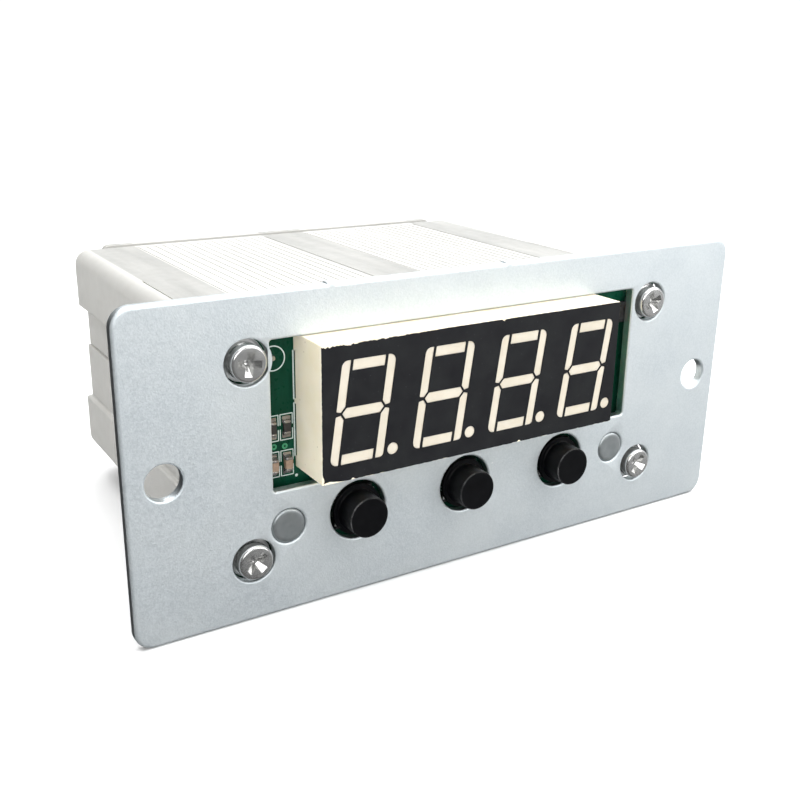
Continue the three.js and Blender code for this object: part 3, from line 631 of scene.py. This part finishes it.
def circuit_board():
    """Green solder mask over faint copper tracks and the glass weave."""
    finish = Finish("circuit_board", 0.3, Specular_IOR_Level=0.1)
    tracks = finish.ramp(finish.noise(4.5, 0, (1, 1, 0.3)), (0.5, 0.0), (0.52, 1.0))
    mask = finish.mottle(0.5, (0.002, 0.034, 0.018), (0.003, 0.042, 0.023), 1, (1, 1, 0.2))
    finish.colour(finish.blend(tracks, mask, (0.003, 0.052, 0.028)))
    finish.roughness(finish.mottle(0.7, 0.24, 0.4))
    finish.bump(finish.noise(1.2, 1), 0.004, 0.3)
    return finish.material


def silk_screen():
    """The board's white print, thin enough for the green to show through a little."""
    finish = Finish("silk_screen", 0.55)
    finish.colour(finish.mottle(0.3, (0.48, 0.56, 0.53), (0.66, 0.73, 0.70)))
    finish.bump(finish.noise(0.1), 0.005, 0.5)
    return finish.material


def via_green():
    """Solder mask where it covers the copper ring of a via."""
    finish = Finish("via_green", 0.28, Coat_Weight=0.4)
    finish.colour(finish.mottle(0.3, (0.02, 0.20, 0.09), (0.04, 0.27, 0.13)))
    finish.bump(finish.noise(0.2), 0.01, 0.5)
    return finish.material


def dark_plastic(name, low, high, grain=0.12, depth=0.008, smooth=0.42, rough=0.58):
    """Moulded black plastic with a fine matt grain and a little dust."""
    finish = Finish(name, (smooth + rough) / 2)
    tone = finish.mottle(2.5, low, high)
    dust = finish.specks(0.5, 0.4, 0.03, 0.06)
    finish.colour(finish.blend(dust, tone, 0.13))
    finish.roughness(finish.mottle(0.6, smooth, rough))
    finish.bump(finish.noise(grain, 2), depth, 0.6)
    return finish.material


def button_black():
    """The buttons' satin black plastic, with a paler painted highlight along the front rim of each cap."""
    finish = Finish("button_black", 0.4, Specular_IOR_Level=0.12)
    tone = finish.mottle(1.8, (0.0015, 0.0016, 0.0022), (0.003, 0.0032, 0.004))
    dust = finish.specks(0.45, 0.4, 0.03, 0.06)
    dusty = finish.blend(dust, tone, 0.05)
    # A paler band in patches along each cap's front rim: a painted highlight.
    patchy = finish.ramp(finish.noise(1.5), (0.4, 0.25), (0.6, 1.0))
    painted_highlight = finish.blend(finish.edge_mask(0.2), 0.0, patchy)
    rim = finish.blend(finish.ahead_of(CAP_FOOT_FRONT - 1), 0.0, painted_highlight)
    finish.colour(finish.blend(rim, dusty, (0.6, 0.6, 0.61)))
    finish.roughness(finish.mottle(0.4, 0.34, 0.46))
    finish.bump(finish.noise(0.09, 2), 0.006, 0.6)
    return finish.material


def ceramic_tan():
    """The fired body of a chip capacitor."""
    finish = Finish("ceramic_tan", 0.42)
    finish.colour(finish.mottle(0.3, (0.24, 0.16, 0.11), (0.33, 0.23, 0.16)))
    finish.bump(finish.noise(0.06), 0.006, 0.6)
    return finish.material


def case_plastic():
    """The case's off-white ABS: a fine spark-eroded grain, faint flow marks and handling dirt, with the
    smooth bands painted a darker streaked grey as a painted reflection.
    """
    finish = Finish("case_plastic", 0.5)
    finish.let_light_in(0.08, 0.6, (1.0, 0.9, 0.75))
    tone = finish.mottle(14, (0.475, 0.47, 0.445), (0.545, 0.54, 0.515), 4, (1, 0.35, 1))
    dirt = finish.ramp(finish.noise(3, 5, (1, 0.3, 1)), (0.6, 0.0), (0.85, 0.35))
    marked = finish.blend(dirt, tone, (0.42, 0.41, 0.37))
    # The smooth bands are painted a darker grey in streaks: a painted reflection.
    painted_reflection_streaks = finish.mottle(2.5, 0.6, 1.0, 4, (1, 0.12, 1))
    smooth = finish.blend(finish.smooth_bands(), 0.0, painted_reflection_streaks)
    finish.colour(finish.blend(smooth, marked, (0.275, 0.275, 0.262)))
    finish.roughness(finish.mottle(2, 0.44, 0.6))
    finish.bump(finish.noise(0.22, 2), 0.012, 0.5)
    return finish.material


def coloured_plastic(name, low, high, grain=0.3):
    """Moulded plastic of one colour, with a soft mottle and a fine grain."""
    finish = Finish(name, 0.45)
    finish.colour(finish.mottle(3, low, high))
    finish.roughness(finish.mottle(1, 0.38, 0.55))
    finish.bump(finish.noise(grain, 2), 0.012, 0.5)
    return finish.material


def laminated_steel():
    """The transformer's stack of thin sheets, seen as fine lines along its thickness."""
    finish = Finish("laminated_steel", 0.45, metallic=0.9)
    sheets = finish.noise(0.5, 0, (0.02, 1, 0.02))
    finish.colour(finish.ramp(sheets, (0.4, (0.10, 0.10, 0.11)), (0.6, (0.22, 0.22, 0.24))))
    finish.bump(sheets, 0.05, 0.8)
    return finish.material


def winding_tape():
    """Glossy yellow tape in overlapping turns."""
    finish = Finish("winding_tape", 0.3, Coat_Weight=0.3)
    turns = finish.noise(4, 0, (0.1, 0.1, 1))
    finish.colour(finish.ramp(turns, (0.45, (0.62, 0.42, 0.06)), (0.55, (0.72, 0.52, 0.10))))
    finish.bump(turns, 0.08, 0.8)
    return finish.material


def pale_floor():
    """A white sweep, with the faintest grain."""
    finish = Finish("pale_floor", 0.7)
    finish.colour(finish.mottle(40, 0.86, 0.89))
    finish.bump(finish.noise(0.8), 0.01, 0.2)
    return finish.material


ALUMINIUM = plate_aluminium()
STUD = stud_steel()
ZINC = bright_metal("zinc_steel", 0.50, (0.66, 0.66, 0.65), 0.28, 0.42)
NICKEL = bright_metal("nickel_steel", (0.60, 0.60, 0.59), (0.68, 0.68, 0.67), 0.14, 0.22)
TINNED = bright_metal("tinned_metal", (0.26, 0.245, 0.235), (0.40, 0.38, 0.37), 0.12, 0.2)
SWITCH_METAL = bright_metal("switch_metal", (0.60, 0.59, 0.56), (0.74, 0.73, 0.70), 0.2, 0.34)
IVORY = display_ivory()
FILM = display_black()
EPOXY = segment_epoxy()
BOARD_GREEN = circuit_board()
SILK = silk_screen()
VIA = via_green()
CHIP_BLACK = dark_plastic("chip_black", (0.006, 0.006, 0.007), (0.013, 0.013, 0.014))
RESISTOR_BLACK = dark_plastic("resistor_black", (0.016, 0.014, 0.014), (0.03, 0.027, 0.026), 0.05, 0.004)
CAPACITOR_TAN = ceramic_tan()
SWITCH_BLACK = dark_plastic("switch_plastic", 0.010, 0.02)
BUTTON_BLACK = button_black()
CASE_WHITE = case_plastic()
RELAY_BLUE = coloured_plastic("relay_blue", (0.010, 0.075, 0.26), (0.014, 0.095, 0.31))
TERMINAL_GREEN = coloured_plastic("terminal_green", (0.028, 0.13, 0.05), (0.04, 0.17, 0.07))
SLEEVE = coloured_plastic("capacitor_sleeve", (0.008, 0.012, 0.022), (0.014, 0.02, 0.035))
CORE_STEEL = laminated_steel()
TAPE = winding_tape()

# ---- Face plate, studs and screws ----


def plate_outline():
    """The plate's outline, with the two rough tips that shearing left on its top edge."""
    half_width = PLATE.width / 2
    half_height = -PLATE.bottom
    points = [(-half_width, -half_height, PLATE_CORNER), (half_width, -half_height, PLATE_CORNER)]
    points.append((half_width, half_height, PLATE_CORNER))
    for place in NUB_PLACES:
        points += [(place - NUB_WIDTH * along, half_height + NUB_PROUD * rise) for along, rise in NUB_SHAPE]
    points.append((-half_width, half_height, PLATE_CORNER))
    return rounded(points, 12)


def front_plate():
    """The aluminium plate, with its window and all its round holes."""
    holes = [rectangle(**WINDOW)]
    holes += [circle(side * MOUNTING_HOLE_X, 0, MOUNTING_HOLE_RADIUS) for side in SIDES.values()]
    holes += [circle(stud.x, stud.z, stud.width / 2 + STUD_HOLE_GAP) for stud in STUDS]
    holes += [circle(screw.x, screw.z, SCREW_HOLE_RADIUS) for screw in SCREWS]
    holes += [circle(cap.x, cap.z, BUTTON_HOLE_RADIUS) for cap in CAPS]
    rim = round_edge(PLATE_ROUND, PLATE.front, PLATE.back, 0.1, 6)
    hole_rim = round_edge(PUNCH_ROUND, PLATE.front, PLATE.back, 0.05, 4)
    body = sheet(plate_outline(), rim, holes, hole_rim)
    add_piece("face_plate", body, ALUMINIUM, ["front_plate"])


def plate_stud(side, stud):
    """The stud's pressed head, with a small groove between it and the plate, and its shank."""
    head = stud.width / 2
    profile = [(0, 0.02), (head * 0.7, 0.015), (head - 0.3, 0.0), (head - 0.22, 0.03), (head - 0.06, 0.2)]
    profile += [(head, 0.34), (head, PLATE.back), (STUD_SHANK, PLATE.back)]
    profile += [(STUD_SHANK, stud.back - STUD_TIP), (STUD_SHANK - STUD_TIP, stud.back), (0, stud.back)]
    body = moved(turned(profile), stud.x, 0, stud.z)
    add_piece(f"stud_{side}", body, STUD, [f"plate_stud_{side}"])


def cross_recess(reach, depth):
    """Cutters for a cross recess in a face at y = 0: two wedge-shaped arms and a tapered middle."""
    above = 0.3
    mouth = (reach * 1.22, reach * 0.38)
    floor = (reach * 0.34, reach * 0.16)
    arms = []
    for turn in (0, 90):
        arm = block((-1, 1), (-above, depth), (-1, 1))
        for vertex in arm.verts:
            length, width = mouth if vertex.co.y < 0 else floor
            vertex.co.x *= length
            vertex.co.z *= width
        arm.transform(Matrix.Rotation(radians(turn), 4, "Y"))
        arms.append(arm)
    middle = [(0, -above), (reach * 0.6, -above), (reach * 0.2, depth * 1.1), (0, depth * 1.2)]
    return [*arms, turned(middle, 8)]


def pan_head(radius, height, shank, length, recess):
    """A pan head at y = 0 to height, with a rounded rim and a cross recess, and its shank behind it."""
    shoulder = radius * 0.16
    rim = [(radius - inset, y) for inset, y in quarter_arc(shoulder, shoulder * 1.2, 8)]
    foot = [(radius, height - 0.12), (radius - 0.12, height), (shank, height)]
    tail = [(shank, height + length - 0.3), (shank - 0.3, height + length), (0, height + length)]
    body = turned([(0, 0), (radius * 0.5, 0), *rim, *foot, *tail], 64)
    return carved(body, *cross_recess(radius * 0.64, recess))


def board_screw(place, screw, turn):
    """One of the screws that hold the display board, whose head shows in the plate's corner hole."""
    washer = Extent(f"board_washer_{place}")
    height = washer.front - screw.front
    length = screw.back - washer.front
    body = pan_head(screw.width / 2, height, SCREW_SHANK, length, SCREW_RECESS)
    body.transform(Matrix.Rotation(radians(turn), 4, "Y"))
    moved(body, screw.x, screw.front, screw.z)
    add_piece(f"screw_{place}", body, NICKEL, [f"board_screw_{place}"], crease=28)


def cover_screw(side, turn):
    """One of the rear cover's screws, facing backwards."""
    screw = Extent(f"cover_screw_{side}")
    height = screw.back - COVER.back
    length = COVER.back - screw.front
    body = pan_head(screw.width / 2, height, COVER_SCREW_SHANK, length, COVER_SCREW_RECESS)
    body.transform(Matrix.Rotation(radians(180), 4, "Z") @ Matrix.Rotation(radians(turn), 4, "Y"))
    moved(body, screw.x, screw.back, screw.z)
    add_piece(f"rear_screw_{side}", body, NICKEL, [f"cover_screw_{side}"], crease=28)


def fastenings():
    """Every stud and screw, with its spacer, nut or washer."""
    for side, stud in zip(SIDES, STUDS):
        plate_stud(side, stud)
        refine(f"stud_spacer_{side}", ZINC)
        refine(f"stud_nut_{side}", ZINC)
    for place, screw, turn in zip(CORNERS, SCREWS, SCREW_TURNS):
        board_screw(place, screw, turn)
        refine(f"board_washer_{place}", ZINC, 0.06)
    for side, turn in zip(SIDES, COVER_SCREW_TURNS):
        cover_screw(side, turn)


# ---- Display ----


def slanted(points, x):
    """Corners of an upright digit leant to the right and moved to the digit's place."""
    return [(x + px + pz * DIGIT_SLANT, FACE.z + pz, *rest) for px, pz, *rest in points]


def stroke_outlines(x):
    """The outlines of a digit's seven strokes and its point."""
    edge = DIGIT["width"] / 2
    top = DIGIT["height"] / 2
    stroke = DIGIT["stroke"]
    half_gap = DIGIT["gap"] / 2
    inner = edge - stroke
    level_end = inner - half_gap
    upright_side = inner + half_gap
    tip = edge - stroke / 2
    outlines = []
    for up in (1, -1):
        outer_z = up * top
        inner_z = up * (top - stroke)
        level = [(-level_end, outer_z, 0.15), (-level_end, inner_z, 0.1)]
        level += [(level_end, inner_z, 0.1), (level_end, outer_z, 0.15)]
        outlines.append(level if up > 0 else level[::-1])
        for side in (-1, 1):
            outer_corner = 0.55 if (side, up) == (1, -1) else 0.95
            upright = [(side * tip, up * half_gap, 0.08), (side * edge, up * half_gap * 1.8, 0.2)]
            upright += [(side * edge, outer_z, outer_corner), (side * upright_side, outer_z, 0.1)]
            upright.append((side * upright_side, up * (stroke / 2 + half_gap), 0.12))
            outlines.append(upright if side * up > 0 else upright[::-1])
    middle = [(half_gap - tip, 0, 0.08), (-inner, -stroke / 2, 0.2), (inner, -stroke / 2, 0.2)]
    middle += [(tip - half_gap, 0, 0.08), (inner, stroke / 2, 0.2), (-inner, stroke / 2, 0.2)]
    outlines.append(middle)
    point_z = FACE.z - top + POINT_RADIUS
    made = [rounded(slanted(points, x), 5) for points in outlines]
    made.append(circle(x + POINT_FROM_DIGIT, point_z, POINT_RADIUS, 36))
    return made


def digit_outlines():
    """The outlines of every stroke and point on the display."""
    middle = (DIGIT["count"] - 1) / 2
    places = [FACE.x + (index - middle) * DIGIT["pitch"] for index in range(DIGIT["count"])]
    return [outline for x in places for outline in stroke_outlines(x)]


def display_body():
    """The cast housing: a box, open at the back, whose sides stand on feet with gaps between them."""
    front = FACE.front + FILM_THICKNESS
    rim = round_edge(0.1, front, HOUSING.back, 0.1, 3)
    hole = drawn_in(HOUSING.outline(), HOUSING_WALL)
    body = sheet(HOUSING.outline(0.12, 3), rim, [hole], [(0, front), (0, HOUSING.back)])
    across = (HOUSING.left - 1, HOUSING.right + 1)
    behind = (HOUSING.back - HOUSING_FOOT, HOUSING.back + 1)
    body = carved(body, *(block(across, behind, gap) for gap in HOUSING_GAPS))
    add_piece("display_body", body, IVORY, ["display_housing"])


def uneven(share, seed, size):
    """A wander to either side of an edge, with a fine part and a coarse one."""
    fine = noise.noise(Vector((share * 90, seed, 0.5)))
    coarse = noise.noise(Vector((share * 24, seed, 3.5)))
    return size * (0.6 * fine + 0.6 * coarse)


def ragged_end(share):
    """The extra wear at the left end of the film's top edge, over its last two fifths."""
    return max(0.0, (share - 0.6) / 0.4) * (0.2 + abs(uneven(share * 3, 2.2, 0.45)))


def film_outline():
    """The film's edge: trimmed by hand, and worst at the left end of its top edge."""
    corners = FACE.outline()
    top = 2
    points = []
    for side, (inset, jitter, seed, nicks) in enumerate(FILM_EDGES):
        start = corners[side]
        along = corners[(side + 1) % 4] - start
        inwards = along.normalized().orthogonal()
        count = round(along.length / FILM_STEP)
        for index in range(1, count):
            share = index / count
            worn = inset + abs(uneven(share, seed, jitter))
            if side == top:
                worn += ragged_end(share)
            for place, depth, width in nicks:
                worn += depth * exp(-(((share - place) / width) ** 2))
            points.append(start + along * index / count + inwards * worn)
    return points


def display_film():
    """The printed film over the display's front, open at every stroke and point."""
    rim = [(0.02, FACE.front), (0, FACE.front + 0.015), (0, FACE.front + FILM_THICKNESS)]
    body = sheet(film_outline(), rim, digit_outlines(), rim)
    add_piece("display_film", body, FILM, ["display_face"], crease=20)


def display_segments():
    """The epoxy: a slab behind the film, and a low pad in every opening of the film."""
    front = FACE.front + SEGMENT_SET_BACK
    slab_front = FACE.front + FILM_THICKNESS + 0.02
    pad_rim = round_edge(0.05, front, slab_front + 0.4, 0, 3)
    pads = [sheet(drawn_in(outline, 0.015), pad_rim) for outline in digit_outlines()]
    inside = drawn_in(HOUSING.outline(), HOUSING_WALL + 0.05)
    slab = sheet(inside, [(0, slab_front), (0, slab_front + 0.8)])
    body = together(slab, *pads)
    add_piece("display_segments", body, EPOXY, ["segment_diffuser"])


def display():
    """The whole display module."""
    display_body()
    display_film()
    display_segments()
    refine("display_pin_carrier", TINNED, 0.05)


# ---- Display board ----


def on_board(outline, thickness=0.03, holes=()):
    """A thin raised mark on the board's front, such as a printed line or a pad."""
    front = BOARD.front - thickness
    rim = [(thickness / 2, front), (0, front + thickness / 2), (0, BOARD.front + 0.02)]
    return sheet(outline, rim, holes, rim)


def line(x0, z0, x1, z1, width=0.13):
    """A printed line, straight up or straight across."""
    half = width / 2
    left, right = sorted((x0, x1))
    bottom, top = sorted((z0, z1))
    return on_board(rectangle(left - half, right + half, bottom - half, top + half, half * 0.8, 2))


def part_brackets(part, margin=0.28, height=1.82):
    """The printed outline round a chip part: two brackets with a gap between them."""
    reach = part.width / 2 + margin
    marks = []
    for up in (-1, 1):
        z = part.z + up * height
        marks.append(line(part.x - reach, z, part.x + reach, z))
        for side in (-1, 1):
            marks.append(line(part.x + side * reach, z, part.x + side * reach, part.z + up * BRACKET_GAP))
    return marks


def printed_marks():
    """The board's white print: brackets round the chip parts, a ring, and lines beside the display."""
    marks = [mark for chip in CHIPS for mark in part_brackets(Extent(chip))]
    marks.append(on_board(circle(*FIDUCIAL, 1.75), 0.03, [circle(*FIDUCIAL, 1.6)]))
    marks.append(on_board(circle(FACE.left + 0.1, -4.0, 0.22, 24)))
    for x, width, lines in ((FACE.left - 0.05, 0.2, LEFT_LINES), (FACE.right + 0.35, 0.16, RIGHT_LINES)):
        marks += [line(x, top, x, bottom, width) for top, bottom in lines]
    add_piece("board_print", together(*marks), SILK)


def ring_mark(x, z, outer, inner):
    """A thin ring on the board's front."""
    return on_board(circle(x, z, outer, 28), 0.035, [circle(x, z, inner, 28)])


def board_rings():
    """The raised rings of the vias, and the bare pad in the middle of the printed ring."""
    rings = [ring_mark(x, z, 0.42, 0.17) for x, z in LEFT_VIAS + RIGHT_VIAS]
    add_piece("board_vias", together(*rings), VIA)
    pad = on_board(circle(*FIDUCIAL, 0.36, 28), 0.04)
    add_piece("fiducial_pad", pad, TINNED)


def display_board():
    """The board behind the display, with its holes for the corner screws and the studs."""
    holes = [circle(fixing.x, fixing.z, BOARD_HOLE_RADIUS, 32) for fixing in SCREWS + STUDS]
    rim = round_edge(0.08, BOARD.front, BOARD.back, 0.08, 2)
    body = sheet(BOARD.outline(1.0), rim, holes, [(0, BOARD.front), (0, BOARD.back)])
    add_piece("main_display_board", body, BOARD_GREEN, ["display_board"])


def fillet_of_solder(part, up, reach=0.42):
    """Solder between a pad and the end of a chip part: a concave wedge across the part's end."""
    end = part.z + up * part.height / 2
    rise = (part.back - part.front) * 0.75
    curve = quarter_arc(reach, rise, 6)
    bm = bmesh.new()
    rings = []
    for x, bulge in ((part.left + 0.14, 0.0), (part.x, 0.08), (part.right - 0.14, 0.0)):
        ring = [(x, part.back, end - up * 0.1)]
        ring += [(x, part.back - height, end + up * (reach + bulge)) for reach, height in curve]
        ring.append((x, part.back - rise, end - up * 0.1))
        rings.append([bm.verts.new(point) for point in ring])
    bridge(bm, rings)
    for ring in (rings[0], rings[-1]):
        bm.faces.new(ring)
    bmesh.ops.recalc_face_normals(bm, faces=bm.faces)
    return bm


def chip_part(name, material, end_share=0.22):
    """A chip resistor or capacitor: its body, tinned ends, solder fillets and pads."""
    part = Extent(name)
    cap = part.height * end_share
    inner = (part.bottom + cap * 0.8, part.top - cap * 0.8)
    across = (part.left + 0.1, part.right - 0.1)
    body = block(across, (part.front + 0.06, part.back), inner, 0.06, 2)
    add_piece(f"{name}_body", body, material, [name])
    metal = []
    for up in (-1, 1):
        end = part.z + up * part.height / 2
        span = sorted((end, end - up * cap))
        metal.append(block((part.left + 0.06, part.right - 0.06), (part.front, part.back), span, 0.22, 4))
        metal.append(fillet_of_solder(part, up))
        pad = sorted((end - up * cap, end + up * PAD_REACH))
        metal.append(on_board(rectangle(part.left, part.right, *pad, 0.1), 0.035))
    add_piece(f"{name}_ends", together(*metal), TINNED)


def board_parts():
    """The display board and everything on it, apart from the display and the switches."""
    display_board()
    printed_marks()
    board_rings()
    for place in ("inner", "outer"):
        chip_part(f"chip_resistor_{place}", RESISTOR_BLACK)
        chip_part(f"chip_capacitor_{place}", CAPACITOR_TAN)
    refine("chip_diode", CHIP_BLACK, 0.08)
    refine("display_driver_chip", CHIP_BLACK, 0.05)


# ---- Buttons ----


def button_cap(side, cap):
    """A satin cap with a soft rim and a wide foot, hollow behind for the switch's stem."""
    rim = [(CAP_RADIUS - inset, cap.front + y) for inset, y in quarter_arc(CAP_ROUND, CAP_ROUND, 6)]
    dish = [(0, 0.05), (CAP_RADIUS / 2, 0.035), (CAP_RADIUS * 0.85, 0.005)]
    profile = [(radius, cap.front + depth) for radius, depth in dish]
    profile += [*rim, (CAP_RADIUS + 0.08, CAP_FOOT_FRONT - 0.12), (CAP_RADIUS + 0.2, CAP_FOOT_FRONT)]
    foot = cap.width / 2
    profile += [(foot - 0.06, CAP_FOOT_FRONT), (foot, CAP_FOOT_FRONT + 0.06), (foot, cap.back - 0.05)]
    profile += [(foot - 0.05, cap.back), (CAP_BORE, cap.back)]
    profile += [(CAP_BORE, cap.front + CAP_BORE_END), (0, cap.front + CAP_BORE_END)]
    body = moved(turned(profile, 96), cap.x, 0, cap.z)
    add_piece(f"cap_{side}", body, BUTTON_BLACK, [f"button_cap_{side}"], f"button_{side}")


def buttons():
    """The three caps, and the switch behind each of them."""
    for side, cap in zip(BUTTONS, CAPS):
        button_cap(side, cap)
        refine(f"switch_base_{side}", SWITCH_BLACK)
        refine(f"switch_cover_{side}", SWITCH_METAL, 0.05)
        refine(f"switch_stem_{side}", SWITCH_BLACK)


# ---- Case ----


def shell_outline(up):
    """The outline of one shell: the outer face, the channel in each side, and the wall."""
    half_width = CASES[up].width / 2
    surface = CASE_SURFACES[up]
    channel_x = half_width - CHANNEL_DEPTH[up]
    edge = CHANNEL_EDGE[up]
    joint = PARTING_Z + up * PARTING_GAP
    inner_x = half_width - CASE_WALL
    inner_channel_x = inner_x - CHANNEL_INSIDE
    inner_edge = edge + up * CASE_WALL / 2
    inner_surface = surface - up * CASE_WALL
    right = [(channel_x, joint, 0.15), (channel_x, edge, 0.25), (half_width, edge, 0.4)]
    right.append((half_width, surface, CASE_CORNER))
    inside = [(inner_x, inner_surface, 1.0), (inner_x, inner_edge, 0.2)]
    inside += [(inner_channel_x, inner_edge, 0.2), (inner_channel_x, joint)]
    left = [(-x, *rest) for x, *rest in reversed(right)]
    inside_left = [(-x, *rest) for x, *rest in reversed(inside)]
    corners = [*right, *left, *inside_left, *inside]
    return rounded(corners if up > 0 else corners[::-1], 6)


def grooves(up):
    """Cutters for the grooves across one outer face: two fields of ribs, and a short line beyond each."""
    surface = CASE_SURFACES[up]
    level = sorted((surface - up * RIB_DEPTH, surface + up))
    seam_level = sorted((surface - up * SEAM_DEPTH, surface + up))
    cutters = []
    for side in SIDES.values():
        for index in range(RIB_COUNT):
            x = side * (RIB_INNER + RIB_PITCH * index)
            width = RIB_SLOT * (1.0 if index % 2 == 0 else 0.7)
            cutters.append(block((x - width / 2, x + width / 2), (RIB_START, RIB_END), level))
        x = side * SEAM_X
        cutters.append(block((x - SEAM_WIDTH / 2, x + SEAM_WIDTH / 2), (0, SEAM_END), seam_level))
    return together(*cutters)


def rear_flanges(up):
    """The walls that close a shell's rear corners, between its sides and the rear cover's lip."""
    overlap = 0.3
    wall_x = CASES[up].width / 2 - CASE_WALL + overlap
    channel_x = wall_x - CHANNEL_INSIDE
    edge = CHANNEL_EDGE[up] + up * (CASE_WALL / 2 + overlap)
    joint = PARTING_Z + up * PARTING_GAP
    level = CASE_SURFACES[up] - up * (CASE_WALL - overlap)
    back = CASES[up].back - FLANGE_INSET
    flanges = []
    for side in SIDES.values():
        corners = [(FLANGE_INNER, joint), (channel_x, joint), (channel_x, edge), (wall_x, edge)]
        corners += [(wall_x, level), (FLANGE_INNER, level)]
        outline = [Vector((side * x, z)) for x, z in corners]
        if side * up < 0:
            outline.reverse()
        flanges.append(sheet(outline, [(0, back - FLANGE_THICKNESS), (0, back)]))
    return flanges


def case_shell(up, name, node):
    """One half of the case, with its grooves and its rear walls."""
    rim = round_edge(0.06, CASES[up].front, CASES[up].back, 0.15, 3)
    shell = carved(sheet(shell_outline(up), rim), grooves(up))
    body = together(shell, *rear_flanges(up))
    add_piece(name, body, CASE_WHITE, [node], crease=40)


def rear_cover():
    """The rear cover: a plate with a window and two screw holes, and a lip that plugs into the case."""
    terminal = Extent("terminal_housing")
    screws = [Extent(f"cover_screw_{side}") for side in SIDES]
    plate_front = UPPER_CASE.back + COVER_GAP
    holes = [drawn_in(terminal.outline(), -TERMINAL_GAP)]
    holes += [circle(screw.x, screw.z, COVER_HOLE_RADIUS, 40) for screw in screws]
    outline = drawn_in(COVER.outline(0.8), -COVER_PROUD)
    rim = round_edge(0.1, plate_front, COVER.back, 0.5, 4)
    hole_rim = round_edge(0.0, plate_front, COVER.back, 0.2, 3)
    plate = sheet(outline, rim, holes, hole_rim[3:])
    plug = rectangle(-PLUG_HALF_WIDTH, PLUG_HALF_WIDTH, -PLUG_HALF_HEIGHT, PLUG_HALF_HEIGHT, 0.8)
    lip_rim = [(0.3, COVER.front), (0, COVER.front + 0.4), (0, plate_front + 0.2)]
    lip = sheet(plug, lip_rim, [drawn_in(plug, PLUG_WALL)], lip_rim[1:])
    add_piece("back_cover", together(plate, lip), CASE_WHITE, ["rear_cover"])


def terminal_block():
    """The terminal block and its six screws."""
    refine("terminal_housing", TERMINAL_GREEN, 0.18)
    for index in range(6):
        refine(f"terminal_screw_{index + 1}", ZINC, 0.1)


def case():
    """The case: two shells and the rear cover, with the terminal block in its window."""
    case_shell(1, "case_top", "upper_case")
    case_shell(-1, "case_bottom", "lower_case")
    rear_cover()
    terminal_block()


def inner_parts():
    """What the case hides: the CAD's own parts, with softened edges."""
    refine("main_board", BOARD_GREEN)
    refine("link_header", CHIP_BLACK)
    refine("controller_chip", CHIP_BLACK, 0.05)
    refine("output_relay", RELAY_BLUE, 0.5)
    refine("transformer_core", CORE_STEEL, 0.3)
    refine("transformer_winding", TAPE, 0.3)
    refine("smoothing_capacitor", SLEEVE, 0.4)


# ---- Studio ----


def add_camera():
    """The photo's viewpoint, as the edges and holes in the photo give it."""
    azimuth = radians(CAMERA_AZIMUTH)
    elevation = radians(CAMERA_ELEVATION)
    flat = cos(elevation)
    ahead = Vector((sin(azimuth) * flat, cos(azimuth) * flat, -sin(elevation)))
    level = Vector((cos(azimuth), -sin(azimuth), 0))
    roll = Matrix.Rotation(radians(CAMERA_ROLL), 3, -ahead)
    right = roll @ level
    up = right.cross(ahead)
    data = bpy.data.cameras.new("camera")
    data.lens = CAMERA_LENS
    data.clip_start = 1 * MM
    data.clip_end = 100
    camera = in_scene("camera", data)
    axes = Matrix((right, up, -ahead)).transposed().to_4x4()
    camera.matrix_world = Matrix.Translation(ORIGIN + Vector(CAMERA_PLACE) * MM) @ axes
    bpy.context.scene.camera = camera


def add_floor():
    """A wide white floor just under the part."""
    bm = bmesh.new()
    bmesh.ops.create_grid(bm, x_segments=40, y_segments=40, size=6)
    floor = in_scene("floor", as_mesh(bm, "floor"))
    floor.data.materials.append(pale_floor())
    floor.location.z = -FLOOR_DROP * MM
    floor.visible_glossy = False


def add_light(name, kind, power):
    """A light of a kind and a power."""
    lamp = in_scene(name, bpy.data.lights.new(name, kind))
    lamp.data.energy = power
    return lamp


def add_softbox(name, place, size, power):
    """A large soft light at a place in metres that faces the part."""
    lamp = add_light(name, "AREA", power)
    lamp.data.shape = "RECTANGLE"
    lamp.data.size, lamp.data.size_y = size
    lamp.location = place
    lamp.rotation_mode = "QUATERNION"
    lamp.rotation_quaternion = (Vector(LIGHTS_AIM) - Vector(place)).to_track_quat("-Z", "Y")


def add_sky():
    """A soft sky, brighter to the upper right, that looks white to the camera like a photo sweep."""
    world = bpy.data.worlds.new("sky")
    world.use_nodes = True
    tree = world.node_tree
    way = add_node(tree, "ShaderNodeTexCoord", {}).outputs["Generated"]
    towards = add_node(tree, "ShaderNodeVectorMath", {0: way, 1: SKY_BRIGHT_SIDE}, operation="DOT_PRODUCT")
    levels = {"From Min": SKY_DARK_FROM, "To Min": SKY_DARKEST, "To Max": SKY_BRIGHTEST}
    soft = add_node(tree, "ShaderNodeMapRange", {"Value": towards.outputs["Value"], **levels})
    seen = add_node(tree, "ShaderNodeLightPath", {}).outputs["Is Camera Ray"]
    ends = {"Value": seen, "To Min": soft.outputs["Result"], "To Max": SKY_AS_SEEN}
    strength = add_node(tree, "ShaderNodeMapRange", ends).outputs["Result"]
    background = tree.nodes["Background"]
    tree.links.new(strength, background.inputs["Strength"])
    background.inputs["Color"].default_value = (0.98, 0.99, 1.0, 1)
    bpy.context.scene.world = world


def add_overhead():
    """A very wide light from above, which whitens the whole floor evenly."""
    lamp = add_light("overhead", "SUN", OVERHEAD_LIGHT)
    lamp.data.angle = radians(100)
    lamp.rotation_euler = (radians(-10), radians(20), 0)


def add_studio():
    """The light, and a plain rendering of tones."""
    add_sky()
    add_overhead()
    add_softbox("front_left", (-0.6, -1.4, 0.7), (1.3, 0.9), FRONT_LIGHT)
    add_softbox("front_right", (0.75, -1.0, 0.3), (0.9, 0.7), RIGHT_LIGHT)
    bpy.context.scene.view_settings.view_transform = "Standard"
    bpy.context.scene.view_settings.look = "None"


front_plate()
fastenings()
display()
board_parts()
buttons()
case()
inner_parts()
add_floor()
add_camera()
add_studio()
